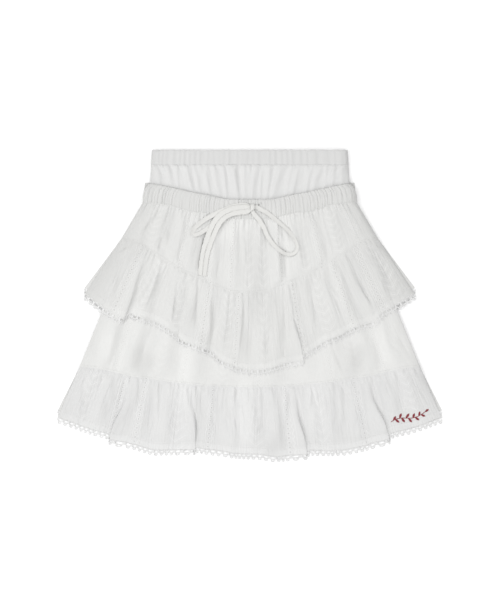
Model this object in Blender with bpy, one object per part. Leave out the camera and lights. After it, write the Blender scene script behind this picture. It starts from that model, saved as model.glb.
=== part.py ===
"""Tiered ruffle skirt, laid flat on its back.

Two tubes of cloth, one in the other. The plain under-layer stands up above the outer
skirt's waistband. The outer skirt has an upper panel with a ruffle, over an underskirt
with a ruffle of its own, and both ruffles end in a narrow lace with a row of holes.

X runs across the skirt, +Y towards the waist and +Z up from the surface it lies on.
The tables are in millimetres, and the meshes are made in metres.
"""
import math
from collections import namedtuple

import bmesh
import bpy

MM = 0.001

# Driving dimensions, in millimetres.
WALL = 1.6                  # the panels' and ruffles' cloth
PLAIN_WALL = 1.4            # the under-layer's plain cotton
BAND_WALL = 2.2             # the gathered bands, with elastic inside
LACE_WALL = 1.2
SEAM_GAP = 0.3              # between pieces that are sewn together
LAYER_GAP = 0.4             # between layers that lie on each other
LACE_DROP = 7.6             # from the cloth's edge to the tip of a picot

CASING_HALF_WIDTH = 140.6
CASING_TOP = 225.2
CASING_BOTTOM = 203.2
YOKE_HALF_WIDTH = 144.0
BAND_HALF_WIDTH = 154.0
SEAM_HALF_WIDTH = 184.0     # at the upper tier seam
RUFFLE_HALF_WIDTH = 238.0   # the upper ruffle's hem
UNDER_TOP_HALF_WIDTH = 172.0
UNDER_SEAM_HALF_WIDTH = 245.0
HEM_HALF_WIDTH = 277.0      # the lower ruffle's hem

BACK_BAND_TOP = 178.0
BACK_BAND_BOTTOM = 150.0

# How many times each fine form repeats across a front.
BAND_RIBS = 40
CASING_TUCKS = 25
PANEL_GATHERS = 33
UPPER_HOLES = 71
HEM_HOLES = 73

BAND_RIB_RISE = 0.9
TUCK_RISE = 1.2
GATHER_RISE = 1.6
PUFF = 1.5                  # the air under a front layer, away from its side folds
UNDER_RISE_LIMIT = 4.2      # no fold of the lower panel is higher than this
YOKE_RISE_LIMIT = 2.0

# Lace: one repeat is a plate with one hole and a rounded picot below it.
HOLE_SHARE = 0.58           # of the repeat's width
HOLE_HEIGHT = 2.8
HOLE_DEPTH = 1.5            # from the lace's upper edge to the hole
NOTCH_DEPTH = 5.6           # from the cloth's edge to the notch between picots
LACE_DROOP = 2.4            # how far the picots hang below the cloth's edge
UPPER_LACE_LEAN = 0.5       # sideways run of the lace at the side folds, for each unit down
HEM_LACE_LEAN = 0.3

CORD_DIAMETER = 4.0
CORD_STEP = 11.0            # between the points of a cord's tube

Line = namedtuple("Line", "x y")
Flute = namedtuple("Flute", "x spread rise")
Cord = namedtuple("Cord", "x y z")
Level = namedtuple("Level", "down half_width")

# Lines that mirror about the middle: x out from the middle, y up the skirt.
BAND_TOP = [
    Line(0, 152.8), Line(34, 153.4), Line(60, 159.6), Line(85, 164.0),
    Line(104, 168.6), Line(136, 175.0), Line(154, 176.4),
]
BAND_BOTTOM = [
    Line(0, 124.2), Line(30, 124.8), Line(60, 133.0), Line(88, 135.2),
    Line(101, 139.2), Line(116, 145.6), Line(154, 148.6),
]
TIER_SEAM = [
    Line(0, 19.4), Line(30, 21.6), Line(52, 32.4), Line(76, 43.6), Line(100, 53.0),
    Line(124, 69.0), Line(149, 84.6), Line(165, 94.6), Line(184, 98.4),
]
SECOND_SEAM = [
    Line(0, -116.4), Line(36, -115.8), Line(66, -114.0), Line(98, -110.6), Line(118, -108.6),
    Line(141, -104.4), Line(170, -101.0), Line(180, -98.0), Line(208, -91.8),
    Line(222, -88.6), Line(245, -87.4),
]
BACK_UPPER_HEM = [
    Line(0, -68.0), Line(60, -58.0), Line(120, -33.0), Line(180, -4.0), Line(238, 26.5),
]
BACK_HEM = [
    Line(0, -194.0), Line(60, -193.0), Line(140, -187.0), Line(210, -170.0), Line(277, -150.5),
]

# The hems, from one side fold to the other, a row for each lobe's side or tip.
UPPER_HEM = [
    Line(-238, 17.7), Line(-223, 4.2), Line(-204, -9.3), Line(-183, -21.4), Line(-171, -10.0),
    Line(-135, -23.8), Line(-101, -44.5), Line(-70, -62.0), Line(-54, -66.5), Line(-34, -82.0),
    Line(-17, -90.0), Line(6, -93.0), Line(23, -91.5), Line(41, -86.6), Line(58, -81.4),
    Line(70, -78.8), Line(79, -69.0), Line(97, -59.8), Line(111, -49.7), Line(133, -39.6),
    Line(157, -29.5), Line(178, -21.0), Line(188, -12.0), Line(217, 3.6), Line(238, 17.7),
]
HEM = [
    Line(-277, -160.8), Line(-242, -173.7), Line(-203, -185.0), Line(-196, -191.0),
    Line(-173, -198.2), Line(-139, -208.3), Line(-82, -207.0), Line(-77, -204.0),
    Line(-36, -210.5), Line(-28, -212.7), Line(15, -214.1), Line(31, -217.4), Line(45, -217.0),
    Line(70, -214.0), Line(80, -212.0), Line(85, -208.0), Line(116, -209.0), Line(137, -208.0),
    Line(168, -201.0), Line(196, -189.0), Line(202, -184.0), Line(228, -178.0),
    Line(277, -160.8),
]

# Side folds: half the width at each share of the way down a piece.
BAND_SIDE = [
    Level(0.0, 145.5), Level(0.25, 151.0), Level(0.6, 153.4), Level(1.0, 154.0),
]

# Folds: x and spread are measured at the piece's lower edge, rise is the fold's height.
UPPER_PANEL_FOLDS = [
    Flute(-163, 9, 2.6), Flute(-140, 10, 3.8), Flute(-112, 9, 3.2), Flute(-86, 10, 4.2),
    Flute(-56, 9, 3.4), Flute(-24, 11, 4.2), Flute(12, 9, 3.2), Flute(42, 10, 4.2),
    Flute(74, 9, 3.4), Flute(104, 10, 4.0), Flute(132, 9, 3.2), Flute(160, 9, 2.6),
]
UPPER_RUFFLE_FLUTES = [
    Flute(-213, 15, 6.5), Flute(-189, 7, 5.0), Flute(-160, 10, 9.0), Flute(-124, 14, 7.0),
    Flute(-92, 11, 10.0), Flute(-67, 8, 7.0), Flute(-42, 9, 9.0), Flute(-12, 11, 11.0),
    Flute(16, 9, 9.5), Flute(44, 11, 8.0), Flute(67, 8, 10.5), Flute(98, 11, 7.0),
    Flute(128, 12, 9.0), Flute(152, 9, 6.5), Flute(174, 8, 9.5), Flute(207, 14, 7.5),
]
LOWER_PANEL_FOLDS = [
    Flute(-214, 12, 3.4), Flute(-178, 13, 4.0), Flute(-132, 15, 3.2), Flute(-84, 16, 3.0),
    Flute(-30, 18, 2.6), Flute(34, 18, 2.6), Flute(84, 16, 3.0), Flute(130, 15, 3.4),
    Flute(176, 13, 4.0), Flute(212, 12, 3.2),
]
LOWER_RUFFLE_FLUTES = [
    Flute(-255, 11, 4.5), Flute(-224, 9, 5.5), Flute(-189, 9, 9.0), Flute(-163, 12, 5.5),
    Flute(-128, 14, 7.5), Flute(-93, 10, 9.0), Flute(-62, 8, 5.0), Flute(-30, 11, 8.0),
    Flute(4, 13, 6.5), Flute(38, 12, 9.0), Flute(69, 9, 9.0), Flute(98, 9, 5.0),
    Flute(126, 13, 7.0), Flute(160, 12, 5.5), Flute(188, 9, 9.5), Flute(217, 9, 4.5),
    Flute(248, 12, 6.0),
]

# The drawstring's routes, from the knot outwards.
KNOT_CENTRE = (2.0, 142.0, 14.8)
KNOT_SIZE = (17.0, 13.0, 6.6)
RIGHT_LOOP = [
    Cord(12.4, 141.0, 14.2), Cord(25.0, 134.0, 14.4), Cord(38.0, 124.0, 15.4),
    Cord(49.0, 114.5, 14.9), Cord(59.0, 104.5, 14.3), Cord(66.0, 93.0, 14.0),
    Cord(68.0, 82.5, 13.8), Cord(62.5, 75.5, 13.8), Cord(53.5, 75.0, 14.0),
    Cord(44.0, 79.5, 14.5), Cord(34.0, 89.0, 14.6), Cord(25.5, 101.0, 14.3),
    Cord(20.0, 113.5, 14.4), Cord(13.5, 124.0, 14.6), Cord(6.5, 132.0, 14.0),
]
LEFT_LOOP = [
    Cord(-9.4, 145.6, 13.8), Cord(-23.0, 143.8, 13.9), Cord(-37.0, 138.5, 14.2),
    Cord(-50.0, 132.5, 14.9), Cord(-62.0, 126.0, 15.1), Cord(-72.5, 118.5, 15.3),
    Cord(-80.0, 110.5, 15.3), Cord(-81.0, 103.5, 15.2), Cord(-74.0, 103.5, 15.1),
    Cord(-64.0, 109.5, 14.8), Cord(-53.5, 117.0, 14.9), Cord(-43.0, 124.5, 15.2),
    Cord(-31.0, 131.0, 14.6), Cord(-18.5, 136.0, 13.8), Cord(-10.2, 139.0, 13.8),
]
FIRST_TAIL = [
    Cord(-5.0, 135.6, 18.0), Cord(-16.0, 134.5, 18.7), Cord(-28.0, 132.0, 19.1),
    Cord(-38.5, 125.0, 19.8), Cord(-46.0, 115.0, 19.4), Cord(-51.5, 103.0, 16.8),
    Cord(-56.0, 91.0, 14.3), Cord(-60.0, 78.5, 13.0), Cord(-62.5, 66.0, 12.2),
    Cord(-64.0, 54.0, 11.7), Cord(-65.0, 43.5, 11.4),
]
SECOND_TAIL = [
    Cord(-8.0, 142.4, 18.8), Cord(-20.0, 141.2, 18.9), Cord(-32.0, 137.6, 19.1),
    Cord(-43.0, 130.6, 19.6), Cord(-51.5, 120.4, 19.6), Cord(-57.5, 108.0, 18.8),
    Cord(-62.0, 95.5, 15.0), Cord(-66.0, 82.5, 12.9), Cord(-68.6, 69.5, 12.1),
    Cord(-70.2, 56.5, 11.8), Cord(-71.2, 44.5, 12.3),
]

MaterialLook = namedtuple("MaterialLook", "colour roughness")
PATTERNED_COTTON = MaterialLook((0.90, 0.90, 0.89, 1.0), 0.85)
PLAIN_COTTON = MaterialLook((0.91, 0.91, 0.90, 1.0), 0.8)
LACE_COTTON = MaterialLook((0.92, 0.92, 0.91, 1.0), 0.8)
DRAWSTRING_COTTON = MaterialLook((0.90, 0.89, 0.86, 1.0), 0.85)


# ---------------------------------------------------------------- sums
def clamp(value, low=0.0, high=1.0):
    return max(low, min(high, value))


def mix(a, b, share):
    return a + (b - a) * share


def ease(share):
    share = clamp(share)
    return share * share * (3.0 - 2.0 * share)


def along(line, x):
    """Height of a line at x, straight between its points."""
    if x <= line[0].x:
        return line[0].y
    for near, far in zip(line, line[1:]):
        if x <= far.x:
            return mix(near.y, far.y, (x - near.x) / (far.x - near.x))
    return line[-1].y


def mirrored(line):
    return lambda x: along(line, abs(x))


def side_width(levels, down):
    for near, far in zip(levels, levels[1:]):
        if down <= far.down:
            return mix(near.half_width, far.half_width, (down - near.down) / (far.down - near.down))
    return levels[-1].half_width


def roll_in(distance, reach):
    """0 on a side fold and 1 from reach inwards, round as a fold of cloth."""
    share = clamp(distance / reach)
    return math.sqrt(1.0 - (1.0 - share) ** 2)


def folds_at(folds, half_width, across, down, growth):
    """Height of a row of folds that widen and rise towards the piece's lower edge."""
    strength = mix(growth, 1.0, ease(down))
    narrow = mix(0.55, 1.0, down)
    total = 0.0
    for fold in folds:
        away = (across * half_width - fold.x) / (fold.spread * narrow)
        total += fold.rise * math.exp(-away * away)
    return total * strength


def ribs_at(count, across):
    """Even ribs from -1 to 1 across the piece, 0 at the troughs and 1 on the ribs."""
    return 0.5 - 0.5 * math.cos(math.pi * count * (across + 1.0))


# ---------------------------------------------------------------- where each layer lies
def under_half_width(y):
    """How far out the underskirt reaches at a height, above its own tier seam."""
    top = Line(UNDER_TOP_HALF_WIDTH, along(TIER_SEAM, UNDER_TOP_HALF_WIDTH))
    seam = Line(UNDER_SEAM_HALF_WIDTH, SECOND_SEAM[-1].y)
    return mix(top.x, seam.x, (top.y - y) / (top.y - seam.y))


def ruffle_half_width(y):
    """How far out the upper ruffle reaches at a height."""
    seam = Line(SEAM_HALF_WIDTH, TIER_SEAM[-1].y)
    hem = Line(RUFFLE_HALF_WIDTH, UPPER_HEM[-1].y)
    return mix(seam.x, hem.x, clamp((seam.y - y) / (seam.y - hem.y)))


def below_seam(x, y):
    """How far a point lies below the underskirt's tier seam."""
    return along(SECOND_SEAM, abs(x)) - y


def back_under_floor(x, y):
    """Underside of the underskirt's back: on the back ruffle, then on the surface."""
    return (WALL + SEAM_GAP) * (1.0 - ease(below_seam(x, y) / 18.0))


def front_under_floor(x, y, lift):
    """Underside of the underskirt's front: it comes down later than the back does, but
    closes on the back at the side folds, where lift is 0."""
    side = back_under_floor(x, y) + WALL + 2 * LAYER_GAP
    inside = (WALL + SEAM_GAP) * (1.0 - ease((below_seam(x, y) - 18.0) / 45.0))
    return mix(side, inside + WALL + LAYER_GAP, lift)


def hem_lace_floor(x, y):
    """The front hem lace may come down to the surface once it is past the back lace."""
    back_tips = along(BACK_HEM, abs(x)) - SEAM_GAP - LACE_DROP
    past = ease((back_tips - 0.5 - y) / 5.0)
    return (LACE_WALL + LAYER_GAP) * (1.0 - past)


def back_yoke_floor(y):
    """Underside of the under-layer's back: over the back waistband, then on the surface."""
    settle = ease((y - BACK_BAND_TOP - 3.0) / 16.0)
    return (BAND_WALL + SEAM_GAP) * (1.0 - settle)


def front_yoke_floor(y, lift):
    """Underside of the under-layer's front: close to the back only at its side folds."""
    side = back_yoke_floor(y) + PLAIN_WALL + 2 * LAYER_GAP
    return mix(side, BAND_WALL + SEAM_GAP + PLAIN_WALL + LAYER_GAP, lift)


BAND_FLOOR = BAND_WALL + SEAM_GAP + 2 * PLAIN_WALL + YOKE_RISE_LIMIT + 2 * LAYER_GAP
SIDE_FLOOR = WALL + SEAM_GAP
RUFFLE_FLOOR = 3 * WALL + SEAM_GAP + 2 * LAYER_GAP


def ruffle_floor(x, y):
    """Underside of the upper ruffle: down on the back at its side folds, clear of the
    underskirt everywhere else."""
    inner = under_half_width(y)
    out = clamp((abs(x) - inner) / max(1.0, ruffle_half_width(y) - inner))
    climb = math.sqrt(1.0 - out * out)
    over_folds = UNDER_RISE_LIMIT * roll_in(inner - abs(x), 22.0) * under_fade(x, y)
    return mix(SIDE_FLOOR, RUFFLE_FLOOR, climb) + over_folds


def under_fade(x, y):
    """The underskirt lies flat at the tier seam and fills out below it."""
    return ease((along(TIER_SEAM, abs(x)) - y) / 45.0)


# ---------------------------------------------------------------- pieces as sections
def section_points(columns, downs, top, bottom, widths, height, thickness):
    """Under and upper grids of a piece, a row for each share of the way down.

    top and bottom give y from x, widths gives the half width at a share down, and height
    gives the underside's z at (across, down, x, y).
    """
    under = []
    over = []
    probe = 1.0
    top_width = widths(0.0)
    bottom_width = widths(1.0)
    for down in downs:
        low_row = []
        high_row = []
        for column in range(columns + 1):
            across = -1.0 + 2.0 * column / columns
            x = across * widths(down)
            y = mix(top(across * top_width), bottom(across * bottom_width), down)
            z = height(across, down, x, y)
            beside = height(clamp(across + probe / widths(down), -1.0, 1.0), down, x, y)
            slope = (beside - z) / probe
            low_row.append((x, y, z))
            high_row.append((x, y, z + thickness * min(1.5, math.sqrt(1.0 + slope * slope))))
        under.append(low_row)
        over.append(high_row)
    return under, over


def straight(near, far):
    return lambda down: mix(near, far, down)


def shares(count):
    return [row / count for row in range(count + 1)]


def closed_wall(build, under, over):
    """Two equal grids joined into one closed wall, the upper one facing up."""
    low = [[build.verts.new((x * MM, y * MM, z * MM)) for x, y, z in row] for row in under]
    high = [[build.verts.new((x * MM, y * MM, z * MM)) for x, y, z in row] for row in over]
    last_row = len(low) - 1
    last_column = len(low[0]) - 1
    for row in range(last_row):
        for column in range(last_column):
            ring = [(row, column), (row + 1, column), (row + 1, column + 1), (row, column + 1)]
            build.faces.new([high[r][c] for r, c in ring])
            build.faces.new([low[r][c] for r, c in reversed(ring)])
    rim = [(0, column) for column in range(last_column)]
    rim += [(row, last_column) for row in range(last_row)]
    rim += [(last_row, column) for column in range(last_column, 0, -1)]
    rim += [(row, 0) for row in range(last_row, 0, -1)]
    for (r, c), (next_r, next_c) in zip(rim, rim[1:] + rim[:1]):
        build.faces.new((low[r][c], high[r][c], high[next_r][next_c], low[next_r][next_c]))


def look_material(name, look):
    material = bpy.data.materials.get(name)
    if material is None:
        material = bpy.data.materials.new(name)
        material.use_nodes = True
        shader = material.node_tree.nodes["Principled BSDF"]
        shader.inputs["Base Color"].default_value = look.colour
        shader.inputs["Roughness"].default_value = look.roughness
        shader.inputs["Metallic"].default_value = 0.0
    return material


def add_piece(collection, name, build, look):
    bmesh.ops.recalc_face_normals(build, faces=build.faces)
    mesh = bpy.data.meshes.new(name)
    build.to_mesh(mesh)
    build.free()
    mesh.shade_smooth()
    mesh.set_sharp_from_angle(angle=math.radians(50))
    mesh.materials.append(look_material(name + "_cloth", look))
    piece = bpy.data.objects.new(name, mesh)
    collection.objects.link(piece)
    return piece


def add_panel(collection, name, look, thickness, columns, downs, top, bottom, widths, height):
    build = bmesh.new()
    under, over = section_points(columns, downs, top, bottom, widths, height, thickness)
    closed_wall(build, under, over)
    return add_piece(collection, name, build, look)


# ---------------------------------------------------------------- under-layer
def add_under_layer(collection):
    def casing_top(x):
        return CASING_TOP

    def casing_bottom(x):
        return CASING_BOTTOM

    def yoke_top(x):
        return CASING_BOTTOM - SEAM_GAP

    def yoke_bottom(x):
        return along(BAND_BOTTOM, abs(x)) - 4.0

    def back_bottom(x):
        return BACK_BAND_BOTTOM - 8.0

    def back_height(across, down, x, y):
        return back_yoke_floor(y)

    def casing_height(across, down, x, y):
        lift = roll_in(CASING_HALF_WIDTH * (1.0 - abs(across)), 8.0)
        return front_yoke_floor(y, lift) + lift * TUCK_RISE * ribs_at(CASING_TUCKS, across)

    def yoke_height(across, down, x, y):
        lift = roll_in(YOKE_HALF_WIDTH * (1.0 - abs(across)), 9.0)
        tucks = mix(TUCK_RISE, 0.4, down) * ribs_at(CASING_TUCKS, across)
        return front_yoke_floor(y, lift) + lift * tucks

    casing_widths = straight(CASING_HALF_WIDTH, CASING_HALF_WIDTH + 1.6)
    yoke_widths = straight(CASING_HALF_WIDTH + 1.6, YOKE_HALF_WIDTH)
    fine = 2 * CASING_TUCKS
    add_panel(collection, "inner_casing_front", PLAIN_COTTON, PLAIN_WALL + 0.4, fine,
              shares(2), casing_top, casing_bottom, casing_widths, casing_height)
    add_panel(collection, "inner_casing_back", PLAIN_COTTON, PLAIN_WALL, 4,
              shares(1), casing_top, casing_bottom, casing_widths, back_height)
    add_panel(collection, "inner_yoke_front", PLAIN_COTTON, PLAIN_WALL, fine,
              [0.0, 0.25, 0.55, 1.0], yoke_top, yoke_bottom, yoke_widths, yoke_height)
    add_panel(collection, "inner_yoke_back", PLAIN_COTTON, PLAIN_WALL, 4,
              [0.0, 0.12, 0.24, 0.36, 1.0], yoke_top, back_bottom, yoke_widths, back_height)


# ---------------------------------------------------------------- outer waist and panel
def add_waistband(collection):
    def back_top(x):
        return BACK_BAND_TOP

    def back_bottom(x):
        return BACK_BAND_BOTTOM

    def front_height(across, down, x, y):
        inside = side_width(BAND_SIDE, down) * (1.0 - abs(across))
        lift = roll_in(inside, 11.0)
        ribs = BAND_RIB_RISE * ribs_at(BAND_RIBS, across)
        return mix(BAND_WALL + SEAM_GAP, BAND_FLOOR, lift) + ribs * lift

    def back_height(across, down, x, y):
        return 0.0

    def widths(down):
        return side_width(BAND_SIDE, down)

    add_panel(collection, "waistband_front", PATTERNED_COTTON, BAND_WALL, 2 * BAND_RIBS,
              [0.0, 0.12, 0.88, 1.0], mirrored(BAND_TOP), mirrored(BAND_BOTTOM), widths,
              front_height)
    add_panel(collection, "waistband_back", PATTERNED_COTTON, BAND_WALL, 4,
              [0.0, 0.3, 1.0], back_top, back_bottom, widths, back_height)


def add_upper_panel(collection):
    half_gap = SEAM_GAP / 2

    def top(x):
        return along(BAND_BOTTOM, abs(x)) - SEAM_GAP

    def bottom(x):
        return along(TIER_SEAM, abs(x)) + half_gap

    def back_top(x):
        return BACK_BAND_BOTTOM - SEAM_GAP

    widths = straight(BAND_HALF_WIDTH, SEAM_HALF_WIDTH)

    def front_height(across, down, x, y):
        lift = roll_in(widths(down) * (1.0 - abs(across)), 13.0)
        floor = mix(BAND_FLOOR, RUFFLE_FLOOR, ease(down))
        side = mix(BAND_WALL + SEAM_GAP, SIDE_FLOOR, down)
        settle = mix(1.0, 0.45, ease((down - 0.6) / 0.4))
        folds = folds_at(UPPER_PANEL_FOLDS, SEAM_HALF_WIDTH, across, down, 0.5) * settle
        gathers = GATHER_RISE * ribs_at(PANEL_GATHERS, across) * mix(1.0, 0.25, ease(down * 1.6))
        return mix(side, floor, lift) + (folds + gathers) * lift

    def back_height(across, down, x, y):
        return 0.0

    add_panel(collection, "upper_panel_front", PATTERNED_COTTON, WALL, 2 * PANEL_GATHERS,
              [0.0, 0.1, 0.25, 0.45, 0.68, 0.88, 1.0], top, bottom, widths, front_height)
    add_panel(collection, "upper_panel_back", PATTERNED_COTTON, WALL, 18,
              shares(1), back_top, bottom, widths, back_height)


# ---------------------------------------------------------------- ruffles and underskirt
def upper_ruffle_height(across, down, x, y):
    half_width = mix(SEAM_HALF_WIDTH, RUFFLE_HALF_WIDTH, down)
    lift = roll_in(half_width * (1.0 - abs(across)), mix(10.0, 20.0, down))
    flutes = folds_at(UPPER_RUFFLE_FLUTES, RUFFLE_HALF_WIDTH, across, down, 0.16)
    gathers = GATHER_RISE * ribs_at(UPPER_HOLES / 2, across) * (1.0 - ease(down * 1.9))
    return ruffle_floor(x, y) + (flutes + gathers) * lift


def lower_front_width(down):
    return mix(UNDER_SEAM_HALF_WIDTH, HEM_HALF_WIDTH, down)


def lower_ruffle_height(across, down, x, y):
    lift = roll_in(lower_front_width(down) * (1.0 - abs(across)), mix(14.0, 20.0, down))
    flutes = folds_at(LOWER_RUFFLE_FLUTES, HEM_HALF_WIDTH, across, down, 0.2)
    gathers = GATHER_RISE * ribs_at(HEM_HOLES / 2, across) * (1.0 - ease(down * 1.9))
    puff = PUFF * (1.0 - down)
    return front_under_floor(x, y, lift) + (puff + flutes + gathers) * lift


def add_ruffles(collection):
    half_gap = SEAM_GAP / 2

    def upper_top(x):
        return along(TIER_SEAM, abs(x)) - half_gap

    def upper_hem(x):
        return along(UPPER_HEM, x)

    def lower_top(x):
        return along(SECOND_SEAM, abs(x)) - half_gap

    def hem(x):
        return along(HEM, x)

    def flat_height(across, down, x, y):
        return 0.0

    def back_lower_height(across, down, x, y):
        return back_under_floor(x, y)

    upper_widths = straight(SEAM_HALF_WIDTH, RUFFLE_HALF_WIDTH)
    add_panel(collection, "upper_ruffle_front", PATTERNED_COTTON, WALL, UPPER_HOLES,
              [0.0, 0.09, 0.22, 0.38, 0.56, 0.74, 0.89, 1.0], upper_top, upper_hem,
              upper_widths, upper_ruffle_height)
    add_panel(collection, "upper_ruffle_back", PATTERNED_COTTON, WALL, 18, shares(1),
              upper_top, mirrored(BACK_UPPER_HEM), upper_widths, flat_height)
    add_panel(collection, "lower_ruffle_front", PATTERNED_COTTON, WALL, HEM_HOLES,
              [0.0, 0.13, 0.32, 0.55, 0.78, 1.0], lower_top, hem,
              lower_front_width, lower_ruffle_height)
    add_panel(collection, "lower_ruffle_back", PATTERNED_COTTON, WALL, 24,
              [0.0, 0.12, 0.25, 1.0], lower_top, mirrored(BACK_HEM),
              lower_front_width, back_lower_height)


def add_lower_panel(collection):
    def top(x):
        return along(TIER_SEAM, abs(x)) - 2.0

    def bottom(x):
        return along(SECOND_SEAM, abs(x)) + 2 * SEAM_GAP

    widths = straight(UNDER_TOP_HALF_WIDTH, UNDER_SEAM_HALF_WIDTH)

    def front_height(across, down, x, y):
        lift = roll_in(widths(down) * (1.0 - abs(across)), 18.0)
        folds = folds_at(LOWER_PANEL_FOLDS, UNDER_SEAM_HALF_WIDTH, across, down, 0.4)
        rise = min(UNDER_RISE_LIMIT - 0.4, folds) * under_fade(x, y)
        settle = mix(1.0, 0.5, ease((down - 0.85) / 0.15))
        return front_under_floor(x, y, lift) + rise * lift * settle

    def back_height(across, down, x, y):
        return back_under_floor(x, y)

    add_panel(collection, "lower_panel_front", PATTERNED_COTTON, WALL, 36,
              [0.0, 0.2, 0.4, 0.6, 0.72, 0.86, 1.0], top, bottom, widths, front_height)
    add_panel(collection, "lower_panel_back", PATTERNED_COTTON, WALL, 24,
              shares(1), top, bottom, widths, back_height)


# ---------------------------------------------------------------- lace
def lace_repeat_points(left, right, place):
    """Picot tip and hole corners of one repeat. place(across, depth) puts a point down."""
    middle = (left + right) / 2
    hole_left = mix(middle, left, HOLE_SHARE)
    hole_right = mix(middle, right, HOLE_SHARE)
    hole_end = HOLE_DEPTH + HOLE_HEIGHT
    tip = place(middle, LACE_DROP)
    hole = [
        place(hole_left, HOLE_DEPTH), place(hole_left, hole_end),
        place(hole_right, hole_end), place(hole_right, HOLE_DEPTH),
    ]
    return tip, hole


def add_lace(collection, name, holes, half_width, lean, hem, height, floor):
    """A strip of repeats along a hem, each with its hole cut through."""
    build = bmesh.new()

    def place(across, depth):
        line_x = across * half_width
        sideways = lean * across
        x = line_x + sideways * depth
        y = hem(line_x) - SEAM_GAP - depth * math.sqrt(1.0 - sideways * sideways)
        z = height(across, 1.0, line_x, hem(line_x))
        low = max(floor(x, y), z - LACE_DROOP * depth / LACE_DROP)
        return [(x * MM, y * MM, level * MM) for level in (low, low + LACE_WALL)]

    def pair(points):
        return [build.verts.new(point) for point in points]

    def rim_point(column, depth):
        return pair(place(-1.0 + 2.0 * column / holes, depth))

    def plate(corners):
        build.faces.new([corner[1] for corner in corners])
        build.faces.new([corner[0] for corner in reversed(corners)])

    def edge(start, end):
        build.faces.new((start[0], start[1], end[1], end[0]))

    starts = [rim_point(column, 0.0) for column in range(holes + 1)]
    notches = [rim_point(column, NOTCH_DEPTH) for column in range(holes + 1)]
    for column in range(holes):
        left = -1.0 + 2.0 * column / holes
        right = -1.0 + 2.0 * (column + 1) / holes
        tip_points, hole_points = lace_repeat_points(left, right, place)
        tip = pair(tip_points)
        hole = [pair(corner) for corner in hole_points]
        above_left, below_left, below_right, above_right = hole
        top_left = starts[column]
        top_right = starts[column + 1]
        notch_left = notches[column]
        notch_right = notches[column + 1]
        plate([top_left, above_left, above_right, top_right])
        plate([top_left, notch_left, below_left, above_left])
        plate([top_right, above_right, below_right, notch_right])
        plate([notch_left, tip, below_right, below_left])
        plate([tip, notch_right, below_right])
        for near, far in zip(hole, hole[1:] + hole[:1]):
            edge(near, far)
        edge(top_left, top_right)
        edge(notch_right, tip)
        edge(tip, notch_left)
    edge(notches[0], starts[0])
    edge(starts[-1], notches[-1])
    return add_piece(collection, name, build, LACE_COTTON)


def add_laces(collection):
    def upper_hem(x):
        return along(UPPER_HEM, x)

    def hem(x):
        return along(HEM, x)

    def back_edge(line):
        return lambda x: along(line, abs(x)) - SEAM_GAP

    def back_tips(line):
        return lambda x: along(line, abs(x)) - SEAM_GAP - LACE_DROP

    def flat_height(across, down, x, y):
        return 0.0

    add_lace(collection, "upper_lace_front", UPPER_HOLES, RUFFLE_HALF_WIDTH,
             UPPER_LACE_LEAN, upper_hem, upper_ruffle_height, ruffle_floor)
    add_lace(collection, "hem_lace_front", HEM_HOLES, HEM_HALF_WIDTH,
             HEM_LACE_LEAN, hem, lower_ruffle_height, hem_lace_floor)
    add_panel(collection, "upper_lace_back", LACE_COTTON, LACE_WALL, 18, shares(1),
              back_edge(BACK_UPPER_HEM), back_tips(BACK_UPPER_HEM),
              straight(RUFFLE_HALF_WIDTH, RUFFLE_HALF_WIDTH), flat_height)
    add_panel(collection, "hem_lace_back", LACE_COTTON, LACE_WALL, 24, shares(1),
              back_edge(BACK_HEM), back_tips(BACK_HEM),
              straight(HEM_HALF_WIDTH, HEM_HALF_WIDTH), flat_height)


# ---------------------------------------------------------------- drawstring
def smooth_route(route):
    """Points about CORD_STEP apart on a curve through the route's own points."""
    ends = [route[0]] + list(route) + [route[-1]]
    points = []
    for index in range(len(route) - 1):
        before, near, far, after = ends[index:index + 4]
        reach = math.dist(near, far)
        steps = max(1, round(reach / CORD_STEP))
        for step in range(steps):
            t = step / steps
            weights = (
                -0.5 * t + t * t - 0.5 * t ** 3,
                1.0 - 2.5 * t * t + 1.5 * t ** 3,
                0.5 * t + 2.0 * t * t - 1.5 * t ** 3,
                -0.5 * t * t + 0.5 * t ** 3,
            )
            corners = (before, near, far, after)
            points.append([sum(w * p[axis] for w, p in zip(weights, corners)) for axis in range(3)])
    points.append(list(route[-1]))
    return points


def add_cord(collection, name, route):
    points = smooth_route(route)
    curve = bpy.data.curves.new(name, "CURVE")
    curve.dimensions = "3D"
    curve.bevel_depth = CORD_DIAMETER / 2 * MM
    curve.bevel_resolution = 2
    curve.use_fill_caps = True
    spline = curve.splines.new("POLY")
    spline.points.add(len(points) - 1)
    for point, (x, y, z) in zip(spline.points, points):
        point.co = (x * MM, y * MM, z * MM, 1.0)
    curve.materials.append(look_material(name + "_cloth", DRAWSTRING_COTTON))
    cord = bpy.data.objects.new(name, curve)
    collection.objects.link(cord)
    return cord


def add_drawstring(collection):
    build = bmesh.new()
    bmesh.ops.create_uvsphere(build, u_segments=14, v_segments=8, radius=0.5 * MM)
    for vertex in build.verts:
        for axis in range(3):
            vertex.co[axis] = vertex.co[axis] * KNOT_SIZE[axis] + KNOT_CENTRE[axis] * MM
    add_piece(collection, "drawstring_knot", build, DRAWSTRING_COTTON)
    add_cord(collection, "drawstring_right_loop", RIGHT_LOOP)
    add_cord(collection, "drawstring_left_loop", LEFT_LOOP)
    add_cord(collection, "drawstring_first_tail", FIRST_TAIL)
    add_cord(collection, "drawstring_second_tail", SECOND_TAIL)


def main():
    for leftover in list(bpy.data.objects):
        bpy.data.objects.remove(leftover)
    collection = bpy.data.collections.new("tiered_ruffle_skirt")
    bpy.context.scene.collection.children.link(collection)
    add_under_layer(collection)
    add_waistband(collection)
    add_upper_panel(collection)
    add_ruffles(collection)
    add_lower_panel(collection)
    add_laces(collection)
    add_drawstring(collection)


main()
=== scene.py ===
import math
from collections import namedtuple

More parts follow.
